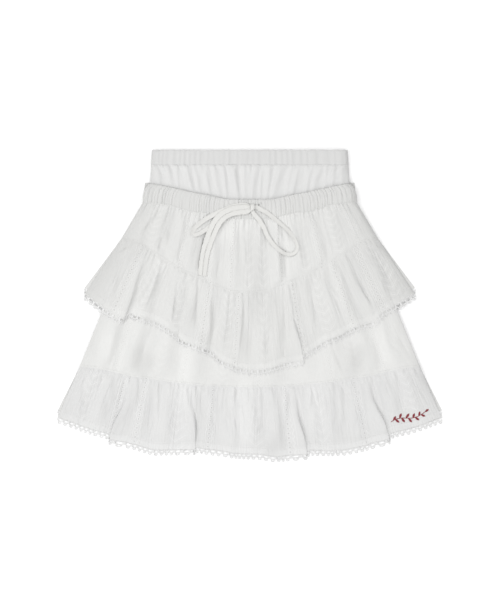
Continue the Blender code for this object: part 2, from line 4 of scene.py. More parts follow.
import bmesh
import bpy
import numpy as np
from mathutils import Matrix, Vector


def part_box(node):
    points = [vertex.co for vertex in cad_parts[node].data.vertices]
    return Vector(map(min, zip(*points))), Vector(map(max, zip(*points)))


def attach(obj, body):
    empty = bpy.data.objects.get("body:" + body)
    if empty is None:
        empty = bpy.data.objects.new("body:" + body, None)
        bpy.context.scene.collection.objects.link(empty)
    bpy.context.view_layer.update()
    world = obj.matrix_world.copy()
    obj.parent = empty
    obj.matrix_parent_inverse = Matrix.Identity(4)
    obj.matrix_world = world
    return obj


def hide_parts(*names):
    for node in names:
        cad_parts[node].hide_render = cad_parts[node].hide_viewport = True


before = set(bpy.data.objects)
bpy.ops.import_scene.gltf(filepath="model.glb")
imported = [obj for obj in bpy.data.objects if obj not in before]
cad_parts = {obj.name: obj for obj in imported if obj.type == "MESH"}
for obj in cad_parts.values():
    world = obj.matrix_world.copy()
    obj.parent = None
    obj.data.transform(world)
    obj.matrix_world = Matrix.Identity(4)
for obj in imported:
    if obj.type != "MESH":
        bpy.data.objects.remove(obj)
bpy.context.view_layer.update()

# The skirt lies flat, front up: X across it, +Y towards the waist, +Z up.
# Tables and sizes are in millimetres. Meshes are in metres.
MM = 0.001

# How thick the solids' walls are, and the visible cloth
WALL = 1.6
PLAIN_WALL = 1.4
BAND_WALL = 2.2
SEAM_GAP = 0.3              # between solids that are sewn together
LAYER_GAP = 0.4             # between layers that lie on each other
CLOTH = 0.5
CASING_CLOTH = 0.9          # folded over its elastic
BAND_CLOTH = 1.1            # gathered, and turned over its elastic
LACE_DROP = 7.6             # from the cloth's edge to about a picot's tip
HEM_TURN = 11.0             # the ruffles' turned-up hems
UPPER_HOLES = 71
HEM_HOLES = 73

# About how far a front piece goes down, near its middle
CASING_DROP = 22.0
BAND_DROP = 26.0
UPPER_PANEL_DROP = 105.0
UPPER_RUFFLE_DROP = 108.0
LOWER_RUFFLE_DROP = 95.0


def half_width_of(node):
    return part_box(node)[1][0] / MM


CASING_HALF_WIDTH = 140.6
CASING_FLARE = 1.6          # what the casing's lower edge is wider by, a side
YOKE_HALF_WIDTH = half_width_of("inner_yoke_front")
BAND_HALF_WIDTH = half_width_of("waistband_front")
SEAM_HALF_WIDTH = half_width_of("upper_panel_front")
RUFFLE_HALF_WIDTH = half_width_of("upper_ruffle_front")
UNDER_TOP_HALF_WIDTH = 172.0
UNDER_SEAM_HALF_WIDTH = half_width_of("lower_panel_front")
HEM_HALF_WIDTH = half_width_of("lower_ruffle_front")
CASING_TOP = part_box("inner_casing_front")[1][1] / MM
CASING_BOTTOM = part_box("inner_casing_front")[0][1] / MM
BACK_BAND_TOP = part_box("waistband_back")[1][1] / MM
BACK_BAND_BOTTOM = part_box("waistband_back")[0][1] / MM

Line = namedtuple("Line", "x y")
Level = namedtuple("Level", "down half_width")
Flute = namedtuple("Flute", "x spread rise lean")
Crease = namedtuple("Crease", "x0 y0 x1 y1 width back rise")
Stripe = namedtuple("Stripe", "x order")
Cord = namedtuple("Cord", "x y z")

# Lines that mirror about the middle
BAND_TOP = [
    Line(0, 152.8), Line(34, 153.4), Line(60, 159.6), Line(85, 164.0),
    Line(104, 168.6), Line(136, 175.0), Line(154, 176.4),
]
BAND_BOTTOM = [
    Line(0, 124.2), Line(30, 124.8), Line(60, 133.0), Line(88, 135.2),
    Line(101, 139.2), Line(116, 145.6), Line(154, 148.6),
]
TIER_SEAM = [
    Line(0, 19.4), Line(30, 21.6), Line(52, 32.4), Line(76, 43.6), Line(100, 53.0),
    Line(124, 69.0), Line(149, 84.6), Line(165, 94.6), Line(184, 98.4),
]
SECOND_SEAM = [
    Line(0, -116.4), Line(36, -115.8), Line(66, -114.0), Line(98, -110.6), Line(118, -108.6),
    Line(141, -104.4), Line(170, -101.0), Line(180, -98.0), Line(208, -91.8),
    Line(222, -88.6), Line(245, -87.4),
]
BACK_UPPER_HEM = [
    Line(0, -68.0), Line(60, -58.0), Line(120, -33.0), Line(180, -4.0), Line(238, 26.5),
]
BACK_HEM = [
    Line(0, -194.0), Line(60, -193.0), Line(140, -187.0), Line(210, -170.0), Line(277, -150.5),
]
BAND_SIDE = [
    Level(0.0, 145.5), Level(0.25, 151.0), Level(0.6, 153.4), Level(1.0, 154.0),
]

# The front hems, a row for each lobe's side or tip
UPPER_HEM = [
    Line(-238, 17.7), Line(-223, 4.2), Line(-204, -9.3), Line(-183, -21.4), Line(-171, -10.0),
    Line(-135, -23.8), Line(-101, -44.5), Line(-70, -62.0), Line(-54, -66.5), Line(-34, -82.0),
    Line(-17, -90.0), Line(6, -93.0), Line(23, -91.5), Line(41, -86.6), Line(58, -81.4),
    Line(70, -78.8), Line(79, -69.0), Line(97, -59.8), Line(111, -49.7), Line(133, -39.6),
    Line(157, -29.5), Line(178, -21.0), Line(188, -12.0), Line(217, 3.6), Line(238, 17.7),
]
HEM = [
    Line(-277, -160.8), Line(-242, -173.7), Line(-203, -185.0), Line(-196, -191.0),
    Line(-173, -198.2), Line(-139, -208.3), Line(-82, -207.0), Line(-77, -204.0),
    Line(-36, -210.5), Line(-28, -212.7), Line(15, -214.1), Line(31, -217.4), Line(45, -217.0),
    Line(70, -214.0), Line(80, -212.0), Line(85, -208.0), Line(116, -209.0), Line(137, -208.0),
    Line(168, -201.0), Line(196, -189.0), Line(202, -184.0), Line(228, -178.0),
    Line(277, -160.8),
]

# Folds: x and spread at the piece's lower edge. A leaning fold falls over to its side.
UPPER_PANEL_FOLDS = [
    Flute(-163, 9, 2.6, 0.2), Flute(-140, 10, 3.8, -0.3), Flute(-112, 9, 3.2, 0.4),
    Flute(-86, 10, 4.2, -0.4), Flute(-56, 9, 3.4, 0.3), Flute(-24, 11, 4.2, -0.3),
    Flute(12, 9, 3.2, 0.3), Flute(42, 10, 4.2, 0.4), Flute(74, 9, 3.4, -0.3),
    Flute(104, 10, 4.0, 0.4), Flute(132, 9, 3.2, -0.4), Flute(160, 9, 2.6, -0.2),
]
UPPER_RUFFLE_FLUTES = [
    Flute(-213, 15, 6.5, 0.2), Flute(-189, 7, 5.0, 1.5), Flute(-160, 10, 9.0, -0.7),
    Flute(-124, 14, 7.0, 0.3), Flute(-92, 11, 10.0, -1.0), Flute(-67, 8, 7.0, 0.8),
    Flute(-42, 9, 9.0, -0.6), Flute(-12, 11, 11.0, -0.5), Flute(16, 9, 9.5, 0.4),
    Flute(44, 11, 8.0, -0.3), Flute(67, 8, 10.5, 1.2), Flute(98, 11, 7.0, -0.4),
    Flute(128, 12, 9.0, 0.5), Flute(152, 9, 6.5, -0.3), Flute(174, 8, 9.5, 1.1),
    Flute(207, 14, 7.5, -0.3),
]
LOWER_PANEL_FOLDS = [
    Flute(-214, 12, 3.4, 0.3), Flute(-178, 13, 4.0, -0.3), Flute(-132, 15, 3.2, 0.2),
    Flute(-84, 16, 3.0, 0), Flute(-30, 18, 2.6, 0), Flute(34, 18, 2.6, 0),
    Flute(84, 16, 3.0, 0), Flute(130, 15, 3.4, -0.2), Flute(176, 13, 4.0, 0.3),
    Flute(212, 12, 3.2, -0.3),
]
LOWER_RUFFLE_FLUTES = [
    Flute(-255, 11, 4.5, 0.3), Flute(-224, 9, 5.5, -0.4), Flute(-189, 9, 9.0, -1.3),
    Flute(-163, 12, 5.5, 0.2), Flute(-128, 14, 7.5, 0.3), Flute(-93, 10, 9.0, 1.3),
    Flute(-62, 8, 5.0, -0.4), Flute(-30, 11, 8.0, 0.5), Flute(4, 13, 6.5, -0.4),
    Flute(38, 12, 9.0, 0.4), Flute(69, 9, 9.0, 1.3), Flute(98, 9, 5.0, -0.4),
    Flute(126, 13, 7.0, -0.4), Flute(160, 12, 5.5, 0.3), Flute(188, 9, 9.5, 1.2),
    Flute(217, 9, 4.5, -0.3), Flute(248, 12, 6.0, 0.3),
]
BACK_FLUTES = [
    Flute(-236, 13, 0.55, 0), Flute(-196, 10, 0.8, 0), Flute(-151, 15, 0.65, 0),
    Flute(-112, 9, 0.8, 0), Flute(-74, 13, 0.6, 0), Flute(-31, 10, 0.85, 0),
    Flute(9, 14, 0.6, 0), Flute(52, 9, 0.8, 0), Flute(93, 12, 0.7, 0),
    Flute(140, 15, 0.6, 0), Flute(181, 9, 0.8, 0), Flute(229, 13, 0.6, 0),
]

# Creases: each runs from its first end to its last, dies away at both, and falls off over
# width on its right side (seen from above, looking along it) and over back on its left
YOKE_FOLDS = [
    Crease(-133, 206, -128, 158, 5, 3, 1.4), Crease(-120, 204, -112, 164, 3, 5, 1.9),
    Crease(-107, 208, -101, 160, 4, 2, 1.3), Crease(-92, 207, -80, 152, 4, 4, 2.2),
    Crease(-78, 200, -72, 150, 2, 4, 1.3), Crease(-66, 207, -56, 150, 4, 2.5, 2.1),
    Crease(-54, 203, -42, 148, 3, 5, 1.7), Crease(-37, 207, -33, 146, 3, 2, 1.4),
    Crease(-24, 205, -16, 148, 5, 3, 2.3), Crease(-9, 207, -8, 146, 2, 4, 1.5),
    Crease(6, 206, 2, 146, 3, 4, 2.2), Crease(17, 200, 14, 148, 2, 2, 1.2),
    Crease(31, 207, 22, 146, 4, 3, 1.9), Crease(44, 206, 30, 150, 3, 5, 2.3),
    Crease(57, 201, 51, 148, 2, 3, 1.3), Crease(71, 207, 58, 150, 5, 3, 2.2),
    Crease(86, 205, 79, 154, 3, 3, 1.5), Crease(99, 207, 88, 156, 3, 5, 2.0),
    Crease(111, 203, 106, 162, 2, 3, 1.3), Crease(124, 206, 115, 164, 4, 3, 1.8),
    Crease(134, 204, 131, 166, 3, 4, 1.3),
]
LOWER_PANEL_CREASES = [
    Crease(-150, -38, -158, -96, 9, 5, -1.6), Crease(-192, -6, -204, -82, 6, 6, 1.3),
    Crease(-219, -24, -228, -74, 5, 8, -1.1), Crease(-118, -56, -112, -104, 9, 12, 1.2),
    Crease(-176, -50, -182, -92, 4, 7, 0.9), Crease(-212, -62, -236, -76, 4, 4, 0.8),
    Crease(146, -40, 157, -97, 5, 10, -1.7), Crease(189, -10, 201, -80, 6, 6, 1.2),
    Crease(214, -30, 229, -70, 8, 5, -1.0), Crease(112, -64, 106, -104, 8, 12, 1.1),
    Crease(172, -46, 184, -90, 7, 4, 1.0), Crease(120, -60, 136, -98, 2, 6, -1.1),
    Crease(208, -64, 234, -78, 4, 4, 0.8),
]
UPPER_PANEL_CREASES = [
    Crease(-125, 100, -135, 62, 2, 9, -1.8), Crease(-118, 112, -122, 84, 8, 3, 1.1),
    Crease(-64, 108, -75, 46, 2, 8, -2.4), Crease(-82, 112, -88, 52, 8, 4, 1.2),
    Crease(-30, 96, -26, 34, 6, 3, 0.9), Crease(2, 118, 6, 26, 4, 7, -0.9),
    Crease(50, 96, 54, 36, 7, 2, -1.3), Crease(38, 92, 42, 22, 8, 6, 1.6),
    Crease(60, 118, 78, 52, 5, 5, 1.0), Crease(104, 126, 120, 70, 4, 4, 0.9),
    Crease(132, 136, 156, 102, 5, 3, -0.9), Crease(-134, 138, -160, 104, 5, 3, 1.1),
]
UPPER_RUFFLE_CREASES = [
    Crease(-132, 79, -156, 20, 3, 7, -2.0), Crease(-128, 66, -143, 14, 6, 3, 1.6),
    Crease(-103, 38, -113, -34, 2, 9, -1.9), Crease(-87, 46, -92, 2, 3, 4, -1.2),
    Crease(-73, 46, -76, -34, 2.2, 6, -2.1), Crease(-58, 16, -60, -66, 4, 3, 1.0),
    Crease(-7, 20, -10, -76, 2, 4, -1.7), Crease(10, 16, 17, -52, 6, 3, -1.5),
    Crease(26, 20, 24, -60, 8, 8, 1.4), Crease(52, 34, 54, -54, 4, 1.5, -2.2),
    Crease(64, 32, 72, -4, 9, 6, -1.6), Crease(88, 46, 98, -34, 3, 6, -1.5),
    Crease(104, 52, 120, -6, 6, 8, 1.3), Crease(149, 78, 176, -8, 4, 6, -0.9),
    Crease(150, 70, 160, 38, 4, 5, -1.4), Crease(-166, 92, -197, 76, 3, 3, 1.6),
    Crease(168, 92, 198, 77, 3, 3, 1.6), Crease(-178, 66, -196, 10, 5, 5, -1.3),
    Crease(190, 70, 208, 14, 5, 5, -1.2),
]
LOWER_RUFFLE_CREASES = [
    Crease(-176, -94, -196, -184, 3, 9, -2.6), Crease(-160, -96, -166, -150, 6, 3, 1.4),
    Crease(-205, -92, -198, -150, 5, 8, 1.0), Crease(-132, -104, -134, -170, 3, 2, 1.0),
    Crease(-84, -112, -79, -196, 8, 2.5, -1.8), Crease(-92, -112, -90, -150, 3, 3, 1.3),
    Crease(-70, -120, -66, -160, 3, 5, -1.4), Crease(-30, -118, -27, -200, 5, 4, -1.6),
    Crease(20, -120, 24, -204, 4, 5, -1.6), Crease(52, -120, 50, -170, 3, 4, 1.0),
    Crease(66, -120, 81, -204, 8, 2.5, -1.9), Crease(88, -116, 84, -150, 3, 3, 1.2),
    Crease(128, -110, 134, -180, 3, 4, 1.1), Crease(174, -100, 197, -186, 9, 2.5, -2.0),
    Crease(158, -102, 165, -150, 4, 4, 1.2), Crease(214, -94, 222, -150, 5, 4, -1.2),
    Crease(-234, -90, -244, -150, 4, 6, -1.1),
]

# Soft streaks painted into the cloth's colour, laid out as the creases are: above 0 painted light
# on broad folds, and where a fold doubles the cloth and it looks whiter; below 0 painted shade in
# hollows, and where one layer is sheer
FULLNESS_AND_FOLD_SHADE = [
    Crease(9, 107, 12, -37, 13, 13, -0.6), Crease(52, 136, 51, 9, 13, 12, 0.45),
    Crease(-125, 70, -140, -3, 10, 9, 0.35), Crease(111, 87, 132, -40, 9, 10, 0.35),
    Crease(-114, 146, -129, 88, 12, 12, -0.35), Crease(-144, 121, -170, 64, 12, 12, -0.3),
    Crease(-155, -52, -152, -106, 14, 14, -0.7), Crease(-141, -66, -144, -95, 9, 12, -0.3),
    Crease(-202, -27, -207, -78, 10, 10, 0.25), Crease(-90, -46, -98, -157, 13, 12, 0.5),
    Crease(-10, -63, -11, -236, 16, 14, 0.5), Crease(90, -56, 96, -187, 13, 13, 0.45),
    Crease(156, -52, 153, -103, 11, 11, -0.9), Crease(194, 2, 207, -109, 17, 16, 0.55),
    Crease(-190, -112, -204, -202, 14, 14, -0.5), Crease(-158, -112, -170, -193, 17, 17, -0.3),
    Crease(38, -178, 26, -230, 12, 12, -0.5), Crease(-78, -128, -70, -210, 13, 13, -0.25),
    # The first streak on the line below is painted light under the bow's arc, where it lifts the
    # tape's shadow
    Crease(-46, 90, 0, 136, 17, 20, 0.6), Crease(26, 145, 49, 107, 12, 12, 0.4),
    Crease(-65, -34, -62, -72, 9, 9, -0.5), Crease(-101, 9, -115, -40, 6, 10, -0.35),
    Crease(-233, -118, -251, -187, 17, 17, -0.2), Crease(243, -124, 260, -181, 14, 14, 0.35),
    Crease(147, 81, 162, 9, 12, 12, -0.25), Crease(-26, 81, -20, 9, 12, 12, 0.2),
]

# Woven stripes of the patterned cotton: even orders are columns of eyelet dots between
# raised cords, odd ones are columns of chevrons
LOWER_RUFFLE_STRIPES = [
    Stripe(-248, -5), Stripe(-201, -4), Stripe(-168, -2), Stripe(-110, -1), Stripe(-59, 0),
    Stripe(11, 1), Stripe(57, 2), Stripe(108, 3), Stripe(168, 4), Stripe(247, 5),
]
LOWER_PANEL_STRIPES = [
    Stripe(-196, -4), Stripe(-136, -3), Stripe(-98, -2), Stripe(-40, -1), Stripe(14, 0),
    Stripe(68, 1), Stripe(121, 2), Stripe(160, 3), Stripe(196, 4),
]
UPPER_RUFFLE_STRIPES = [
    Stripe(-199, -6), Stripe(-160, -5), Stripe(-115, -3), Stripe(-73, -2), Stripe(-38, -1),
    Stripe(-20, 0), Stripe(23, 1), Stripe(78, 2), Stripe(118, 3), Stripe(152, 4),
    Stripe(196, 6), Stripe(219, 7),
]
UPPER_PANEL_STRIPES = [
    Stripe(-150, -5), Stripe(-103, -4), Stripe(-62, -2), Stripe(-27, 0), Stripe(-3, 1),
    Stripe(20, 3), Stripe(46, 4), Stripe(83, 5), Stripe(104, 6), Stripe(134, 7),
    Stripe(160, 8),
]
STRIPE_WIDTH = 56.0         # from an eyelet column to the next chevron column
DOT_PITCH = 6.5
CHEVRON_PITCH = 14.0
CRINKLE_PITCH = 5.0

# The drawstring's routes, as its solids take them. Each starts at the knot.
RIGHT_LOOP = [
    Cord(12.4, 141.0, 14.2), Cord(25.0, 134.0, 14.4), Cord(38.0, 124.0, 15.4),
    Cord(49.0, 114.5, 14.9), Cord(59.0, 104.5, 14.3), Cord(66.0, 93.0, 14.0),
    Cord(68.0, 82.5, 13.8), Cord(62.5, 75.5, 13.8), Cord(53.5, 75.0, 14.0),
    Cord(44.0, 79.5, 14.5), Cord(34.0, 89.0, 14.6), Cord(25.5, 101.0, 14.3),
    Cord(20.0, 113.5, 14.4), Cord(13.5, 124.0, 14.6), Cord(6.5, 132.0, 14.0),
]
LEFT_LOOP = [
    Cord(-9.4, 145.6, 13.8), Cord(-23.0, 143.8, 13.9), Cord(-37.0, 138.5, 14.2),
    Cord(-50.0, 132.5, 14.9), Cord(-62.0, 126.0, 15.1), Cord(-72.5, 118.5, 15.3),
    Cord(-80.0, 110.5, 15.3), Cord(-81.0, 103.5, 15.2), Cord(-74.0, 103.5, 15.1),
    Cord(-64.0, 109.5, 14.8), Cord(-53.5, 117.0, 14.9), Cord(-43.0, 124.5, 15.2),
    Cord(-31.0, 131.0, 14.6), Cord(-18.5, 136.0, 13.8), Cord(-10.2, 139.0, 13.8),
]
FIRST_TAIL = [
    Cord(-5.0, 135.6, 18.0), Cord(-16.0, 134.5, 18.7), Cord(-28.0, 132.0, 19.1),
    Cord(-38.5, 125.0, 19.8), Cord(-46.0, 115.0, 19.4), Cord(-51.5, 103.0, 16.8),
    Cord(-56.0, 91.0, 14.3), Cord(-60.0, 78.5, 13.0), Cord(-62.5, 66.0, 12.2),
    Cord(-64.0, 54.0, 11.7), Cord(-65.0, 43.5, 11.4),
]
SECOND_TAIL = [
    Cord(-8.0, 142.4, 18.8), Cord(-20.0, 141.2, 18.9), Cord(-32.0, 137.6, 19.1),
    Cord(-43.0, 130.6, 19.6), Cord(-51.5, 120.4, 19.6), Cord(-57.5, 108.0, 18.8),
    Cord(-62.0, 95.5, 15.0), Cord(-66.0, 82.5, 12.9), Cord(-68.6, 69.5, 12.1),
    Cord(-70.2, 56.5, 11.8), Cord(-71.2, 44.5, 12.3),
]
# The tape is flat and limp, so it rests lower than the round solids: how high its middle
# is at each point of its route
RIGHT_LOOP_REST = [
    11.3, 11.3, 11.3, 10.9, 11.5, 11.5, 11.4, 10.0, 9.4, 11.2, 11.4, 10.0, 10.6, 11.2, 11.2,
]
LEFT_LOOP_REST = [
    11.5, 11.4, 11.3, 11.1, 10.9, 11.5, 11.6, 11.7, 11.6, 10.1, 10.5, 11.4, 11.1, 11.3, 11.4,
]
FIRST_TAIL_REST = [12.8, 12.7, 12.6, 12.8, 12.4, 10.8, 10.4, 9.1, 8.5, 8.4, 8.4]
SECOND_TAIL_REST = [12.9, 12.9, 12.9, 12.8, 12.3, 11.4, 9.2, 7.6, 7.1, 7.5, 7.9]
KNOT_CORE = Cord(2.5, 141.4, 12.2)
TAPE_THICKNESS = 1.3


# ================================================================ camera
FRAME_PIXELS = (500, 600)
MM_PER_PIXEL = 1.442
SKIRT_CENTRE_PIXEL = (249.75, 306.25)
CAMERA_HEIGHT = 2.6


def add_camera():
    """Straight above the skirt, with the waist up in the frame."""
    data = bpy.data.cameras.new("camera")
    camera = bpy.data.objects.new("camera", data)
    bpy.context.scene.collection.objects.link(camera)
    middle_x = (FRAME_PIXELS[0] / 2 - SKIRT_CENTRE_PIXEL[0]) * MM_PER_PIXEL * MM
    middle_y = (SKIRT_CENTRE_PIXEL[1] - FRAME_PIXELS[1] / 2) * MM_PER_PIXEL * MM
    camera.location = (middle_x, middle_y, CAMERA_HEIGHT)
    data.lens = data.sensor_width * CAMERA_HEIGHT / (FRAME_PIXELS[1] * MM_PER_PIXEL * MM)
    data.clip_start = 0.05
    data.clip_end = 20.0
    bpy.context.scene.camera = camera


add_camera()


# ================================================================ shader parts
def new_material(name, colour, roughness, sheen=0.0):
    material = bpy.data.materials.new(name)
    material.use_nodes = True
    shader = material.node_tree.nodes["Principled BSDF"]
    shader.inputs["Base Color"].default_value = (*colour, 1.0)
    shader.inputs["Roughness"].default_value = roughness
    shader.inputs["Sheen Weight"].default_value = sheen
    shader.inputs["Sheen Roughness"].default_value = 0.6
    return material, material.node_tree, shader


def sum_node(tree, operation, first, second=None, third=None, clamp=False):
    node = tree.nodes.new("ShaderNodeMath")
    node.operation = operation
    node.use_clamp = clamp
    for socket, value in zip(node.inputs, (first, second, third)):
        if value is None:
            continue
        if isinstance(value, (int, float)):
            socket.default_value = value
        else:
            tree.links.new(value, socket)
    return node.outputs[0]


def mix_colour(tree, share, first, second):
    node = tree.nodes.new("ShaderNodeMix")
    node.data_type = "RGBA"
    for socket, value in zip((node.inputs[0], node.inputs[6], node.inputs[7]),
                             (share, first, second)):
        if isinstance(value, bpy.types.NodeSocket):
            tree.links.new(value, socket)
        elif isinstance(value, tuple):
            socket.default_value = (*value, 1.0)
        else:
            socket.default_value = value
    return node.outputs[2]


def new_group(name, inputs, outputs):
    """A shader group with float or vector inputs and float outputs."""
    group = bpy.data.node_groups.new(name, "ShaderNodeTree")
    for label, default in inputs:
        kind = "NodeSocketVector" if default is None else "NodeSocketFloat"
        socket = group.interface.new_socket(name=label, in_out="INPUT", socket_type=kind)
        if default is not None:
            socket.default_value = default
    for label in outputs:
        group.interface.new_socket(name=label, in_out="OUTPUT", socket_type="NodeSocketFloat")
    entry = group.nodes.new("NodeGroupInput")
    leave = group.nodes.new("NodeGroupOutput")
    return group, entry.outputs, leave.inputs


def place_group(tree, group, **values):
    node = tree.nodes.new("ShaderNodeGroup")
    node.node_tree = group
    for label, value in values.items():
        socket = node.inputs[label.replace("_", " ")]
        if isinstance(value, bpy.types.NodeSocket):
            tree.links.new(value, socket)
        else:
            socket.default_value = value
    return node.outputs


def uv_of(tree, name="cloth"):
    node = tree.nodes.new("ShaderNodeUVMap")
    node.uv_map = name
    return node.outputs[0]


def share_of(tree, name):
    node = tree.nodes.new("ShaderNodeAttribute")
    node.attribute_name = name
    return node.outputs["Fac"]


def noise(tree, vector, scale, detail):
    node = tree.nodes.new("ShaderNodeTexNoise")
    node.inputs["Scale"].default_value = scale
    node.inputs["Detail"].default_value = detail
    tree.links.new(vector, node.inputs["Vector"])
    return node.outputs[0]


def stretched(tree, vector, across, down):
    node = tree.nodes.new("ShaderNodeVectorMath")
    node.operation = "MULTIPLY"
    tree.links.new(vector, node.inputs[0])
    node.inputs[1].default_value = (across, down, 0.0)
    return node.outputs[0]


def streaks(tree, uv, across, down, detail=2.0):
    """Noise with its own number of waves across the cloth and down it, for a unit of UV."""
    return noise(tree, stretched(tree, uv, across, down), 1.0, detail)


def past_nearest(tree, turns):
    """How far a count of turns is past the nearest whole one."""
    return sum_node(tree, "SUBTRACT", turns, sum_node(tree, "ROUND", turns))


def bump_into(tree, shader, height, distance):
    bump = tree.nodes.new("ShaderNodeBump")
    bump.inputs["Distance"].default_value = distance
    tree.links.new(height, bump.inputs["Height"])
    tree.links.new(bump.outputs[0], shader.inputs["Normal"])


# ================================================================ weaves
def plain_weave_group():
    """Over and under threads of plain woven cotton, with slubs. UV in metres."""
    group, entry, leave = new_group(
        "plain_weave", [("UV", None), ("Thread pitch", 0.0006)], ["Height", "Slub"])
    split = group.nodes.new("ShaderNodeSeparateXYZ")
    group.links.new(entry["UV"], split.inputs[0])
    turns = sum_node(group, "DIVIDE", math.pi, entry["Thread pitch"])
    warp = sum_node(group, "SINE", sum_node(group, "MULTIPLY", split.outputs[0], turns))
    weft = sum_node(group, "SINE", sum_node(group, "MULTIPLY", split.outputs[1], turns))
    cross = sum_node(group, "MULTIPLY", warp, weft)
    group.links.new(sum_node(group, "MULTIPLY_ADD", cross, 0.5, 0.5), leave["Height"])
    group.links.new(streaks(group, entry["UV"], 900.0, 90.0), leave["Slub"])
    return group


def crinkle_group():
    """Fine puckers that run down the cloth. UV in metres."""
    group, entry, leave = new_group("crinkle", [("UV", None)], ["Height"])
    coarse = streaks(group, entry["UV"], 210.0, 26.0)
    fine = streaks(group, entry["UV"], 520.0, 90.0)
    group.links.new(sum_node(group, "MULTIPLY_ADD", fine, 0.35, coarse), leave["Height"])
    return group


# A woven stripe's parts, in millimetres: where each is strongest, counted from the middle
# of its dot, column or row of chevrons, and where it has faded away
Part = namedtuple("Part", "middle half_width")
DOT = Part(0.0, 1.15)
DOT_RING = Part(1.8, 0.9)
WAVY_CORD = Part(4.3, 0.9)
STRAIGHT_CORD = Part(6.6, 0.6)
CHEVRON_LINE = Part(0.0, 2.0)
CHEVRON_THIN_LINE = Part(3.4, 1.3)
CHEVRON_COLUMN = Part(3.0, 9.0)
MOTTLED_COLUMN = Part(13.0, 6.0)
CORD_WAVE = 0.7
CORD_WAVE_LENGTH = 9.0
CHEVRON_SLANT = 0.95
THIN_LINE_SHARE = 0.55      # of a thick line's height
MOTTLED_SHARE = 0.8


def part_at(tree, distance, part):
    """1 in a part's middle, fading to 0 at its edge."""
    away = sum_node(tree, "ABSOLUTE", sum_node(tree, "SUBTRACT", distance, part.middle))
    near = sum_node(tree, "SUBTRACT", 1.0, sum_node(tree, "DIVIDE", away, part.half_width),
                    clamp=True)
    return sum_node(tree, "SMOOTH_MIN", near, 1.0, 0.2)


def woven_stripe_group():
    """Columns of eyelet dots between cords, in turn with columns of chevrons that point
    down the cloth and have mottled bands beside them. UV in millimetres here, with U
    counted from an eyelet column."""
    group, entry, leave = new_group(
        "woven_stripes",
        [("UV", None), ("Stripe width", STRIPE_WIDTH), ("Dot pitch", DOT_PITCH),
         ("Chevron pitch", CHEVRON_PITCH)],
        ["Raised", "Eyelets"])
    split = group.nodes.new("ShaderNodeSeparateXYZ")
    group.links.new(entry["UV"], split.inputs[0])
    u, v = split.outputs[0], split.outputs[1]
    period = sum_node(group, "MULTIPLY", entry["Stripe width"], 2.0)
    turn = sum_node(group, "DIVIDE", u, period)
    from_eyelets = sum_node(group, "ABSOLUTE", past_nearest(group, turn))
    eyelet_away = sum_node(group, "MULTIPLY", from_eyelets, period)
    chevron_away = sum_node(group, "SUBTRACT", entry["Stripe width"], eyelet_away)

    dot_turn = sum_node(group, "DIVIDE", v, entry["Dot pitch"])
    dot_away = sum_node(group, "MULTIPLY", past_nearest(group, dot_turn), entry["Dot pitch"])
    square = sum_node(group, "ADD", sum_node(group, "MULTIPLY", dot_away, dot_away),
                      sum_node(group, "MULTIPLY", eyelet_away, eyelet_away))
    from_dot = sum_node(group, "SQRT", square)
    wave = sum_node(group, "SINE", sum_node(group, "MULTIPLY", v, math.tau / CORD_WAVE_LENGTH))
    waved = sum_node(group, "ADD", eyelet_away, sum_node(group, "MULTIPLY", CORD_WAVE, wave))
    cords = sum_node(group, "ADD", part_at(group, waved, WAVY_CORD),
                     part_at(group, eyelet_away, STRAIGHT_CORD))

    slant = sum_node(group, "MULTIPLY_ADD", chevron_away, CHEVRON_SLANT, v)
    row = sum_node(group, "DIVIDE", slant, entry["Chevron pitch"])
    from_row = sum_node(group, "ABSOLUTE", past_nearest(group, row))
    row_away = sum_node(group, "MULTIPLY", from_row, entry["Chevron pitch"])
    rows = sum_node(group, "MULTIPLY_ADD", part_at(group, row_away, CHEVRON_THIN_LINE),
                    THIN_LINE_SHARE, part_at(group, row_away, CHEVRON_LINE))
    rows = sum_node(group, "MULTIPLY", rows, part_at(group, chevron_away, CHEVRON_COLUMN))
    clumps = streaks(group, entry["UV"], 0.45, 0.30)
    clumps = sum_node(group, "MULTIPLY", 3.0, sum_node(group, "SUBTRACT", clumps, 0.48), clamp=True)
    mottled = sum_node(group, "MULTIPLY", clumps, part_at(group, chevron_away, MOTTLED_COLUMN))

    ring = part_at(group, from_dot, DOT_RING)
    raised = sum_node(group, "ADD", cords, sum_node(group, "ADD", rows, ring))
    raised = sum_node(group, "MULTIPLY_ADD", mottled, MOTTLED_SHARE, raised)
    group.links.new(sum_node(group, "MINIMUM", raised, 1.0), leave["Raised"])
    group.links.new(part_at(group, from_dot, DOT), leave["Eyelets"])
    return group


WEAVE = plain_weave_group()
CRINKLE = crinkle_group()
STRIPES = woven_stripe_group()


# ================================================================ cottons and threads
COTTON_WHITE = (0.702, 0.702, 0.690)
COTTON_THIN = (0.668, 0.668, 0.656)
COTTON_RAISED = (0.785, 0.785, 0.773)
COTTON_EYELET_SHADE = (0.470, 0.465, 0.445)
# The eyelet colour is painted shade in the eyelets' small holes
COTTON_SHEER = (0.622, 0.624, 0.618)
PLAIN_WHITE = (0.668, 0.668, 0.663)
PLAIN_LIGHT = (0.722, 0.722, 0.716)
TAPE_PLAIN = (0.80, 0.797, 0.775)
TAPE_SHADE = (0.672, 0.669, 0.650)
TAPE_LIGHT = (0.745, 0.742, 0.724)
COTTON_ROUGHNESS = 0.88
PLAIN_ROUGHNESS = 0.85
COTTON_SHEEN = 0.06
FINE_THREAD_PITCH = 0.0005
DOUBLED_AND_LIT_TONE = 1.15         # painted light on broad folds, and where a fold doubles the cloth
SHEER_AND_SHADED_TONE = 0.85           # painted shade in hollows, and where one layer is sheer
SIDE_SHADE_TONE = 0.80            # painted shade where the cloth turns to the back


def toned(colour, tone):
    return tuple(float(part) for part in np.array(colour) * tone)


